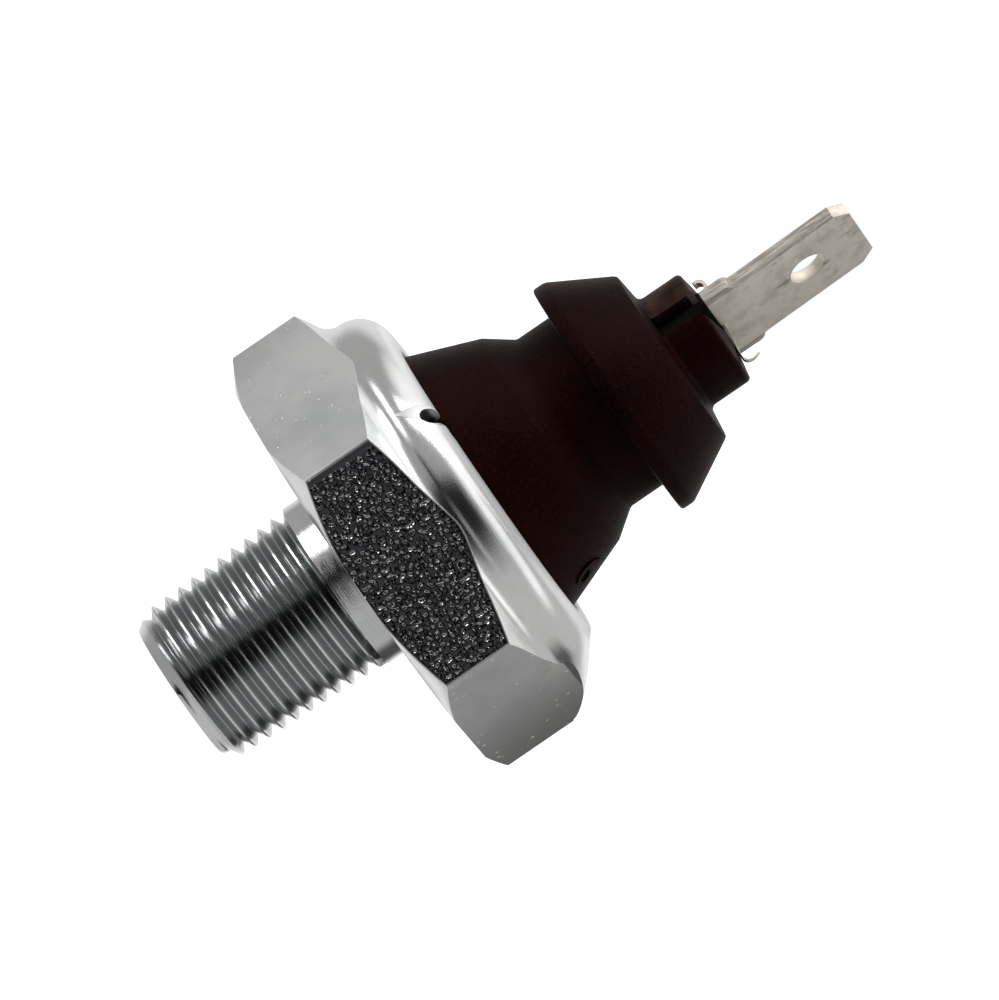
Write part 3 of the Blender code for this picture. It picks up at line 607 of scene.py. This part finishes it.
def nickTool():
    half = nick["width"] / 2
    outline = [(nick["inner"], -half * 1.1), (nick["outer"] - half, -half * 0.75)]
    outline += arcPoints((nick["outer"] - half, 0), half * 0.75, -80, 80, 7)
    outline += [(nick["lobeAt"] + 0.6, half * 0.8), (nick["lobeAt"] + 0.3, half + nick["lobe"])]
    outline += [(nick["lobeAt"] - 0.3, half + nick["lobe"] * 0.9), (nick["inner"], half * 1.2)]
    bm = bmesh.new()
    low, high = lipTop - nick["depth"], lipTop + nick["topAbove"]
    points = [(radius * mm, across * mm, low * mm) for radius, across in outline]
    face = bm.faces.new([bm.verts.new(point) for point in points])
    extrudeBy(bm, [face], (0, 0, (high - low) * mm))
    turnAbout(bm, nick["turnDeg"])
    return makeObject("nickTool", bm, None)


# Brown moulding compound: near black, reddish where the light catches it, with painted light on the boss's
# -X side

plastic = {
    "dark": (0.0008, 0.0002, 0.0002), "red": (0.0200, 0.0030, 0.0022), "dust": (0.050, 0.024, 0.020),
    "tint": (1.0, 0.38, 0.30, 1.0), "paintedLitSide": (0.075, 0.042, 0.034), "level": 0.10, "rough": 0.46,
    "grainMm": 0.2, "grainDepth": 0.035, "cloudMm": 3.8, "fleckMm": 0.55, "litSideFrom": 1.7,
    "litSideTo": 2.5,
}


def plasticFinish():
    material, shader, spot = newFinish(
        "brownMoulding", 0.0, Specular_IOR_Level=plastic["level"], Specular_Tint=plastic["tint"],
    )
    grain = spot.grain(plastic["grainMm"], 3.0, 0.6)
    cloud = spot.grain(plastic["cloudMm"], 3.0, 0.6, 4.0)
    flecks = spot.cells(plastic["fleckMm"])
    colour = cloud.rise(0.35, 0.7) * 0.4 + grain.rise(0.45, 0.7) * 0.6
    colour = colour.tint(plastic["dark"], plastic["red"])
    colour = ((1 - flecks.rise(0.05, 0.09)) * 0.6).tint(colour, plastic["dust"])
    # Painted light: above the crown, the -X side of the boss, towards the softbox, is lighter in patches.
    paintedLitSide = spot.part("Z").rise(capHeights["crown"] * mm, (capHeights["crown"] + 0.5) * mm)
    left = (0 - spot.part("X")).rise(plastic["litSideFrom"] * mm, plastic["litSideTo"] * mm)
    paintedLitSide = paintedLitSide * left * cloud.rise(0.3, 0.6)
    colour = paintedLitSide.tint(colour, plastic["paintedLitSide"])
    roughness = plastic["rough"] + 0.16 * grain
    finishWith(shader, colour, roughness, grain, plastic["grainDepth"])
    return material


# Moulded cap: double cone, neck, retaining flange, slotted boss, and the room inside for the contact

cap = {
    "baseRadius": 10.29, "baseHeight": 17.6, "baseTop": 19.65, "baseRound": 0.6, "start": 8.39,
    "shoulderRadius": 6.87, "coneHeight": 4.0, "shoulderHeight": 1.7, "neckRadius": 5.67, "neckHeight": 2.25,
    "flangeRadius": 7.44, "flangeLand": 0.8, "flangeCone": 3.6, "flangeTopRadius": 5.44, "edgeRound": 0.16,
    "crownRise": 0.15, "bossRadius": 3.6, "bossHeight": 2.8, "bossDome": 0.35, "bossFillet": 0.35,
    "bossRound": 0.3, "steps": 200, "slotWidth": 1.4, "slotRise": 0.06, "leadWidth": 0.6, "leadHeight": 0.7,
    "bladeTurnDeg": 55.6, "baseBore": 7.89, "roomRadius": 5.6, "roomFloor": 18.3, "roomTop": 23.85,
    "seatRadius": 3.725, "seatTop": 25.85, "bushRadius": 3.5, "ribRadius": 4.2,
    "ribBottom": 28.6, "ribTop": 30.4,
    "bushTop": 33.15, "tailSlotWide": 6.2, "tailSlotLow": 32.55, "tailSlotHigh": 34.15,
}
capHeights = {"shoulder": lipTop + cap["coneHeight"]}
capHeights["neck"] = capHeights["shoulder"] + cap["shoulderHeight"]
capHeights["flange"] = capHeights["neck"] + cap["neckHeight"]
capHeights["flangeTop"] = capHeights["flange"] + cap["flangeLand"] + cap["flangeCone"]
capHeights["crown"] = capHeights["flangeTop"] + cap["crownRise"]
capHeights["bossEdge"] = capHeights["crown"] + cap["bossHeight"]
capHeights["bossTop"] = capHeights["bossEdge"] + cap["bossDome"]


def capOutline():
    h = capHeights
    outline = [
        (0.0, cap["bushTop"]), (cap["bushRadius"], cap["bushTop"]),
        (cap["bushRadius"], cap["ribTop"]), (cap["ribRadius"], cap["ribTop"]),
        (cap["ribRadius"], cap["ribBottom"]), (cap["bushRadius"], cap["ribBottom"]),
        (cap["bushRadius"], cap["seatTop"]), (cap["seatRadius"], cap["seatTop"]),
        (cap["seatRadius"], cap["roomTop"]), (cap["roomRadius"], cap["roomTop"]),
        (cap["roomRadius"], cap["roomFloor"]), (cap["baseBore"], cap["roomFloor"]),
        (cap["baseBore"], cap["baseHeight"]), (cap["baseRadius"], cap["baseHeight"]),
    ]
    bend = cap["baseRound"]
    outline += arcPoints((cap["baseRadius"] - bend, cap["baseTop"] - bend), bend, 0, 90, 4)
    flange, edge = cap["flangeRadius"], cap["edgeRound"]
    outline += [
        (cap["start"], cap["baseTop"]), (cap["start"], lipTop),
        (cap["shoulderRadius"] + 0.05, h["shoulder"] - 0.13),
        (cap["shoulderRadius"] - 0.04, h["shoulder"] + 0.1),
        (cap["neckRadius"] + 0.06, h["neck"] - 0.1), (cap["neckRadius"], h["neck"] + 0.06),
        (cap["neckRadius"], h["flange"] - 0.12), (cap["neckRadius"] + 0.12, h["flange"]),
        (flange - edge, h["flange"]), (flange - edge * 0.3, h["flange"] + edge * 0.3),
        (flange, h["flange"] + edge), (flange, h["flange"] + cap["flangeLand"] - 0.1),
        (flange - 0.05, h["flange"] + cap["flangeLand"] + 0.1),
        (cap["flangeTopRadius"] + 0.12, h["flangeTop"] - 0.22),
        (cap["flangeTopRadius"] - 0.02, h["flangeTop"] - 0.05),
        (cap["flangeTopRadius"] - 0.25, h["flangeTop"]),
    ]
    fillet = cap["bossFillet"]
    outline += arcPoints((cap["bossRadius"] + fillet, h["crown"] + fillet), fillet, 270, 180, 6)
    outline += arcPoints(
        (cap["bossRadius"] - cap["bossRound"], h["bossEdge"] - cap["bossRound"]), cap["bossRound"], 0, 75, 5,
    )
    for i in range(6):
        share = 1 - i / 5
        outline.append((share * (cap["bossRadius"] - 0.35), h["bossTop"] - share * share * cap["bossDome"]))
    return outline


# The blade's foot stands in a slot that opens at both sides of the boss, with a worn lead-in
def slotTools():
    h = capHeights
    half = cap["slotWidth"] / 2
    floor = h["crown"] + cap["slotRise"]
    leadFloor = h["bossTop"] - cap["leadHeight"]
    above = h["bossTop"] + 0.7
    wide = half + cap["leadWidth"] * (above - leadFloor) / cap["leadHeight"]
    outline = [(-half, floor), (half, floor), (half, leadFloor)]
    outline += [(wide, above), (-wide, above), (-half, leadFloor)]
    turn = cap["bladeTurnDeg"]
    tail, low, high = cap["tailSlotWide"] / 2, cap["tailSlotLow"], cap["tailSlotHigh"]
    return [
        slab("slotTool", outline, 16.0, turn + 90),
        slab("tailTool", [(-tail, low), (tail, low), (tail, high), (-tail, high)], cap["slotWidth"], turn),
    ]


# A mould number, 6, stands out of the lower cone: a ring and a curved stem
digit = {
    "azimuthDeg": -27.0, "height": 22.95, "ringRadius": 0.52, "ringAt": -0.5, "stroke": 0.24, "raised": 0.11,
    "sunk": 0.15,
}


def digitTools():
    foot = Vector((cap["start"], lipTop))
    slope = Vector((cap["shoulderRadius"] + 0.05, capHeights["shoulder"] - 0.13)) - foot
    radius = foot.x + slope.x * (digit["height"] - foot.y) / slope.y
    slope.normalize()
    turn = math.radians(digit["azimuthDeg"])
    out = Vector((math.cos(turn), math.sin(turn), 0))
    upward = out * slope.x + Vector((0, 0, slope.y))
    aside = Vector((0, 0, 1)).cross(out)
    placing = Matrix((aside, upward, aside.cross(upward))).transposed().to_4x4()
    placing.translation = (out * radius + Vector((0, 0, digit["height"]))) * mm
    half, ring, low = digit["stroke"] / 2, digit["ringRadius"], digit["ringAt"]
    around = []
    for reach, side in ((ring + half, 1), (ring - half, -1)):
        around.append(arcPoints((0, low), reach, 180, 180 + side * 359.9, 28))
    stem = [arcPoints((1.5 * ring, low), 2.5 * ring + side * half, 180, 112, 10) for side in (1, -1)]
    tools = []
    for outer, inner in (around, stem):
        bm = bmesh.new()
        rims = [[bm.verts.new((across * mm, height * mm, -digit["sunk"] * mm)) for across, height in rim]
                for rim in (outer, inner if outer is stem[0] else inner[::-1])]
        for i in range(len(outer) - 1):
            bm.faces.new((rims[0][i], rims[0][i + 1], rims[1][i + 1], rims[1][i]))
        extrudeBy(bm, bm.faces[:], (0, 0, (digit["sunk"] + digit["raised"]) * mm))
        bmesh.ops.transform(bm, matrix=placing, verts=bm.verts)
        tools.append(makeObject("digitTool", bm, None))
    return tools


def buildCap():
    bm = bmesh.new()
    spinOutline(bm, capOutline(), cap["steps"])
    piece = makeObject("mouldedCap", bm, plasticFinish(), 28)
    carve(piece, slotTools(), "DIFFERENCE", 28)
    carve(piece, digitTools(), "UNION", 28)
    place(piece, "insulator")


# Dull tin plate over brass, stained, near black with painted shade down in the slot, with shear marks on its
# narrow edges

tin = {
    "bright": (0.88, 0.83, 0.74), "stain": (0.65, 0.61, 0.54), "dark": (0.30, 0.27, 0.24),
    "slotShade": (0.012, 0.010, 0.010), "rough": 0.52, "grainMm": 0.18, "grainDepth": 0.02,
}


def tinFinish():
    material, shader, spot = newFinish("tinPlate", 1.0)
    flat = spot.turned(-blade["turnDeg"])
    grain = spot.grain(tin["grainMm"], 3.0, 0.6)
    cloud = spot.grain(1.4, 4.0, 0.7, 2.0)
    patches = flat.turned(0, (1, 1, 0.5)).grain(0.9, 3.0, 0.6, 9.0)
    marks = flat.turned(0, (1, 1, 0.08)).grain(0.15, 2.0, 0.6, 6.0)
    onEdge = abs(flat.part("X")).rise(3.1 * mm, 3.13 * mm)
    inSlot = 1 - spot.part("Z").rise((capHeights["bossTop"] - 0.1) * mm, (capHeights["bossTop"] - 0.02) * mm)
    colour = cloud.rise(0.4, 0.72).tint(tin["bright"], tin["stain"])
    colour = (patches.rise(0.6, 0.74) * 0.7).tint(colour, tin["dark"])
    colour = (onEdge * (0.4 + marks.rise(0.4, 0.6) * 0.4)).tint(colour, tin["dark"])
    # Painted shade: the blade below the boss's top, inside the slot, is near black.
    colour = inSlot.tint(colour, tin["slotShade"])
    roughness = tin["rough"] + 0.18 * cloud
    height = grain * 0.5 + onEdge * marks
    finishWith(shader, colour, roughness, height, tin["grainDepth"])
    return material


# Blade terminal with its foot and two ears turned up from it

blade = {
    "turnDeg": 55.6, "leanDeg": 1.3, "width": 6.3, "thickness": 0.8, "tipChamfer": 0.9,
    "holeDiameter": 2.2, "holeFromTip": 3.65, "footWidth": 7.3, "footHeight": 1.7,
    "footSink": 0.3, "footRound": 0.5,
    "tailWidth": 5.6, "tailBottom": 31.65, "edgeRound": 0.05,
    "tongueBend": 0.5, "tongueAway": 2.6, "archRadius": 0.42, "archAway": 2.48,
}


def bladeOutline():
    foot, wide, tail = blade["footWidth"] / 2, blade["width"] / 2, blade["tailWidth"] / 2
    footTop = capHeights["bossTop"] + blade["footHeight"]
    footBottom = capHeights["bossTop"] - blade["footSink"]
    bend = blade["footRound"]
    right = [(tail, blade["tailBottom"]), (tail, footBottom), (foot, footBottom)]
    right += arcPoints((foot - bend, footTop - bend), bend, 0, 60, 5)
    right += [
        (wide + 0.06, footTop + 0.02), (wide, footTop + 0.2), (wide, bladeTop - blade["tipChamfer"]),
        (wide - blade["tipChamfer"] * 0.8, bladeTop),
    ]
    return right + [(-across, height) for across, height in right[::-1]]


def holeTool():
    bm = bmesh.new()
    radius, half = blade["holeDiameter"] / 2, blade["thickness"] / 2
    spinOutline(
        bm, [(0, -1.0), (radius + 0.65, -1.0), (radius + 0.05, -half - 0.01), (radius, -half + 0.1),
             (radius, half - 0.1), (radius + 0.05, half + 0.01), (radius + 0.65, 1.0), (0, 1.0)], 48,
    )
    turnAbout(bm, 90, "X")
    bmesh.ops.translate(bm, verts=bm.verts, vec=(0, 0, (bladeTop - blade["holeFromTip"]) * mm))
    return makeObject("holeTool", bm, None)


# In front a thin pointed tongue, behind a small arch, both along the boss's top
def earTools():
    top = capHeights["bossTop"]
    away, bend = blade["tongueAway"], blade["tongueBend"]
    tongue = [(0.2, top + 0.08, 0.6, 0.12), (1.4, top + 0.01, 0.5, 0.12)]
    tongue.append((away - 0.3, top - 0.1, 0.45, 0.12))
    curl = arcPoints((away, top - 0.1 + bend), bend, 280, 370, 6)
    tongue += [(*point, 0.45 - 0.04 * i, 0.12 - 0.008 * i) for i, point in enumerate(curl)]
    tongue.append((away + 0.36, top + 0.86, 0.15, 0.06))
    middle, arch = blade["archAway"], blade["archRadius"]
    loop = [(0.2, top + 0.12, 0.6, 0.2), (1.4, top + 0.08, 0.6, 0.2)]
    loop.append((middle - arch - 0.25, top, 0.6, 0.2))
    loop += [(*point, 0.6, 0.2) for point in arcPoints((middle, top + 0.04), arch, 165, -20, 9)]
    front = strip("tongueTool", tongue)
    back = strip("archTool", loop)
    back.data.transform(Matrix.Rotation(math.pi, 4, "Z"))
    return [front, back]


def buildBlade():
    piece = slab("bladeTerminal", bladeOutline(), blade["thickness"])
    bm = bmesh.new()
    bm.from_mesh(piece.data)
    edges = [edge for edge in bm.edges if abs(edge.verts[0].co.y - edge.verts[1].co.y) < 1e-7]
    bevelEdges(bm, edges, blade["edgeRound"], 2)
    bm.to_mesh(piece.data)
    bm.free()
    piece.data.materials.append(tinFinish())
    carve(piece, [holeTool()], "DIFFERENCE", 25)
    carve(piece, earTools(), "UNION", 25)
    footTop = capHeights["bossTop"] + blade["footHeight"]
    lean = math.tan(math.radians(blade["leanDeg"]))
    for vert in piece.data.vertices:
        vert.co.y += max(vert.co.z - footTop * mm, 0.0) * lean
    piece.data.transform(Matrix.Rotation(math.radians(blade["turnDeg"]), 4, "Z"))
    place(piece, "terminal_blade")


# Contact spring: three runs of the same wire, close at both ends and open between

coil = {
    "radius": 2.5, "wire": 0.45, "bottom": 19.0, "top": 24.8481, "closeTurns": 1.0, "openTurns": 3.5,
    "closePitch": 0.6, "stepsPerTurn": 40, "sides": 12, "travel": 0.5,
}


def buildSpring():
    bm = bmesh.new()
    half = coil["wire"] / 2
    bmesh.ops.create_circle(bm, cap_ends=False, radius=half * mm, segments=coil["sides"])
    turnAbout(bm, 90, "X")
    bmesh.ops.translate(bm, verts=bm.verts, vec=(coil["radius"] * mm, 0, (coil["bottom"] + half) * mm))
    start = bm.edges[:]
    rise = coil["top"] - coil["bottom"] - coil["wire"] - 2 * coil["closeTurns"] * coil["closePitch"]
    runs = (
        (coil["closeTurns"], coil["closePitch"]), (coil["openTurns"], rise / coil["openTurns"]),
        (coil["closeTurns"], coil["closePitch"]),
    )
    last = bm.verts[:] + start
    for turns, pitch in runs:
        steps = round(turns * coil["stepsPerTurn"])
        last = bmesh.ops.spin(
            bm, geom=last, cent=(0, 0, 0), axis=(0, 0, 1), dvec=(0, 0, turns * pitch * mm / steps),
            angle=2 * math.pi * turns, steps=steps, use_merge=False,
        )["geom_last"]
    for ring in (start, [item for item in last if isinstance(item, bmesh.types.BMEdge)]):
        bmesh.ops.edgeloop_fill(bm, edges=ring)
    bmesh.ops.remove_doubles(bm, verts=bm.verts, dist=1e-7)
    bmesh.ops.recalc_face_normals(bm, faces=bm.faces)
    piece = makeObject("springCoil", bm, stockFinish(stocks["springWire"]), 50)
    place(piece, "contact_spring")
    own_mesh(piece)


# What is sealed inside keeps its CAD shape, with a finish of its own.
# Sizes are (grain in mm, its stretch along x, y and z, bump depth in mm).

stocks = {
    "springWire": {"low": (0.42, 0.42, 0.41), "high": (0.64, 0.63, 0.60), "metal": 1.0, "rough": 0.26,
                   "grain": (0.5, (1, 1, 6), 0.004)},
    "pressedSteel": {"low": (0.46, 0.46, 0.45), "high": (0.68, 0.68, 0.66), "metal": 1.0, "rough": 0.30,
                     "grain": (0.8, (6, 1, 6), 0.005)},
    "turnedBrass": {"low": (0.55, 0.38, 0.16), "high": (0.82, 0.62, 0.30), "metal": 1.0, "rough": 0.24,
                    "grain": (0.6, (1, 1, 10), 0.006)},
    "buttonMoulding": {"low": (0.50, 0.47, 0.38), "high": (0.66, 0.63, 0.53), "metal": 0.0, "rough": 0.45,
                       "grain": (0.3, (1, 1, 1), 0.008)},
    "sealRubber": {"low": (0.010, 0.010, 0.011), "high": (0.032, 0.031, 0.030), "metal": 0.0, "rough": 0.62,
                   "grain": (0.25, (1, 1, 1), 0.010)},
    "coatedCloth": {"low": (0.030, 0.022, 0.016), "high": (0.085, 0.060, 0.042), "metal": 0.0, "rough": 0.70,
                    "grain": (0.22, (1, 1, 1), 0.020)},
    "gasketFibre": {"low": (0.16, 0.13, 0.09), "high": (0.34, 0.28, 0.20), "metal": 0.0, "rough": 0.82,
                    "grain": (0.35, (1, 4, 4), 0.020)},
}
insideNodes = {
    "contact_ring": "pressedSteel", "spring_cup": "pressedSteel", "moving_contact": "turnedBrass",
    "setting_screw": "turnedBrass", "screw_bush": "turnedBrass", "plunger": "buttonMoulding",
    "seal_ring": "sealRubber", "diaphragm": "coatedCloth", "base_gasket": "gasketFibre",
}


def stockFinish(stock):
    name = [key for key, value in stocks.items() if value is stock][0]
    material, shader, spot = newFinish(name, stock["metal"])
    size, stretch, depth = stock["grain"]
    grain = spot.turned(0, stretch).grain(size, 3.0, 0.6, 2.0)
    cloud = spot.grain(size * 6, 3.0, 0.6, 5.0)
    colour = (cloud.rise(0.3, 0.7) * 0.6 + grain.rise(0.35, 0.65) * 0.4).tint(stock["low"], stock["high"])
    roughness = stock["rough"] + 0.14 * cloud
    finishWith(shader, colour, roughness, grain, depth)
    return material


def finishInside():
    materials = {}
    for node, name in insideNodes.items():
        if name not in materials:
            materials[name] = stockFinish(stocks[name])
        for slot in frame["nodes"][node].material_slots:
            slot.material = materials[name]
    print("inside pieces finished:", len(insideNodes))


# Camera, at the photograph's angle

camera = {
    "distance": 0.70, "elevationDeg": 2.1, "azimuthDeg": -5.7, "rollDeg": 55.6,
    "pixelsPerMm": 17.84, "lookHeight": 20.85, "lookRight": 1.2, "sensor": 36.0, "frameHeight": 1000,
}


def buildCamera():
    azimuth, elevation = math.radians(camera["azimuthDeg"]), math.radians(camera["elevationDeg"])
    towards = Vector((math.sin(azimuth), -math.cos(azimuth), 0))
    right = (-towards).cross(Vector((0, 0, 1))).normalized()
    look = -(towards * math.cos(elevation) + Vector((0, 0, 1)) * math.sin(elevation))
    above = right.cross(look).normalized()
    target = Vector((0, 0, camera["lookHeight"] * mm)) + right * camera["lookRight"] * mm
    roll = math.radians(90 - camera["rollDeg"])
    camX = above * math.cos(roll) + right * math.sin(roll)
    camY = above * math.sin(roll) - right * math.cos(roll)
    placing = Matrix((camX, camY, camX.cross(camY))).transposed().to_4x4()
    placing.translation = target - look * camera["distance"]
    data = bpy.data.cameras.new("camera")
    data.sensor_width = camera["sensor"]
    data.lens = camera["pixelsPerMm"] * camera["sensor"] * camera["distance"] * 1000 / camera["frameHeight"]
    data.clip_end = 20
    obj = bpy.data.objects.new("camera", data)
    obj.matrix_world = placing
    bpy.context.scene.collection.objects.link(obj)
    bpy.context.scene.camera = obj
    print("camera ready, lens", round(data.lens, 1))


# Studio: pale floor, one softbox, and a surround that is dark towards the camera

studio = {
    "floorRadius": 3.0, "floorColour": (0.50, 0.50, 0.50), "floorDull": (0.46, 0.46, 0.46), "floorGlow": 0.9,
    "keyTurnDeg": -159.7, "keyHeightDeg": 47.0, "keyDistance": 0.75, "keyWidth": 0.20, "keyTall": 0.58,
    "keyWatts": 1.6,
    "leftLevel": 0.40, "darkLevel": 0.008, "rightLevel": 0.55, "rimLevel": 0.08, "backLevel": 0.95,
    "topLevel": 1.3, "lowLevel": 4.5, "topLoss": 0.6,
    "nearAt": 0.04, "nearBand": (0.05, 0.15), "darkLeft": -0.28, "darkRight": 0.46,
    "nearLeft": 0.36, "nearRight": 0.56, "darkTop": (0.68, 0.95), "darkFoot": (-0.97, -0.9),
    "lowPatch": (-1.45, -0.82, 0.1), "lowBand": (-0.12, 0.04, 0.04),
    "rimPatch": (1.9, 2.6, 0.2), "rimBand": (0.12, 0.3),
    "backFrom": (2.55, 2.95), "backTo": (-2.73, -2.33),
    "topLean": 0.65, "topBand": (0.35, 0.85), "topPatch": (1.95, 2.7, 0.25),
}


def buildFloor():
    bm = bmesh.new()
    bmesh.ops.create_circle(bm, cap_ends=True, radius=studio["floorRadius"], segments=96)
    bmesh.ops.translate(bm, verts=bm.verts, vec=(0, 0, bodyBox[0].z - 0.00002))
    material, shader, spot = newFinish("paleFloor", 0.0, Roughness=0.9, Specular_IOR_Level=0.1)
    colour = spot.grain(300.0).tint(studio["floorDull"], studio["floorColour"])
    colour.tree.links.new(colour.out, shader.inputs["Base Color"])
    shader.inputs["Emission Color"].default_value = (1, 1, 1, 1)
    shader.inputs["Emission Strength"].default_value = studio["floorGlow"]
    floor = makeObject("floor", bm, material)
    floor.visible_glossy = False      # the surround alone shows in the metal
    floor.visible_diffuse = False
    floor.visible_shadow = False


def buildLights():
    turn, lift = math.radians(studio["keyTurnDeg"]), math.radians(studio["keyHeightDeg"])
    towards = Vector((math.cos(turn) * math.cos(lift), math.sin(turn) * math.cos(lift), math.sin(lift)))
    data = bpy.data.lights.new("keySoftbox", "AREA")
    data.shape = "RECTANGLE"
    data.size, data.size_y = studio["keyWidth"], studio["keyTall"]
    data.energy = studio["keyWatts"]
    key = bpy.data.objects.new("keySoftbox", data)
    key.location = Vector((0, 0, 0.02)) + towards * studio["keyDistance"]
    key.rotation_mode = "QUATERNION"
    key.rotation_quaternion = towards.to_track_quat("Z", "Y")
    bpy.context.scene.collection.objects.link(key)


# Beta is the angle about the axis from the camera, in radians, positive to its right.
# Patches and levels run over beta, bands over the height z of the direction.
def buildSurround():
    world = bpy.data.worlds.new("studioWorld")
    world.use_nodes = True
    bpy.context.scene.world = world
    tree = world.node_tree
    ground = tree.nodes["Background"]
    start = Shade(tree, None)
    toward = start.make("ShaderNodeTexCoord", {}, {}, 0)
    x, y, z = toward.part("X"), toward.part("Y"), toward.part("Z")
    c, s = math.cos(math.radians(camera["azimuthDeg"])), math.sin(math.radians(camera["azimuthDeg"]))
    ahead = x * s - y * c
    beta = start.math("ARCTAN2", x * c + y * s, ahead)
    near = 1 - abs(z + studio["nearAt"]).rise(*studio["nearBand"])
    left = studio["darkLeft"] - near * studio["nearLeft"]
    right = studio["darkRight"] - near * studio["nearRight"]
    dark = beta.rise(left - 0.1, left + 0.1) * (1 - beta.rise(right - 0.16, right + 0.4))
    dark = dark * (1 - z.rise(*studio["darkTop"])) * z.rise(*studio["darkFoot"])
    low = beta.between(*studio["lowPatch"]) * z.between(*studio["lowBand"])
    rim = beta.between(*studio["rimPatch"]) * (1 - abs(z).rise(*studio["rimBand"]))
    back = beta.rise(*studio["backFrom"]) + 1 - beta.rise(*studio["backTo"])
    level = studio["leftLevel"] + beta.rise(0.0, 0.9) * (studio["rightLevel"] - studio["leftLevel"])
    level = level + back * (studio["backLevel"] - studio["rightLevel"])
    level = level + rim * (studio["rimLevel"] - studio["rightLevel"])
    above = (z - ahead.most(0.0) * studio["topLean"]).rise(*studio["topBand"])
    above = above * (1 - beta.between(*studio["topPatch"]) * studio["topLoss"])
    level = level.most(above * studio["topLevel"]).most(low * studio["lowLevel"])
    level = level * (1 - dark) + dark * studio["darkLevel"]
    seen = start.make("ShaderNodeLightPath", {}, {}, 0)
    strength = seen + (1 - seen) * level
    tree.links.new(strength.out, ground.inputs["Strength"])
    ground.inputs["Color"].default_value = (1, 1, 1, 1)


print("building the pieces")
buildCamera()
buildBody()
buildCap()
buildBlade()
buildSpring()
finishInside()
buildFloor()
buildLights()
buildSurround()
bpy.context.scene.view_settings.view_transform = "Standard"
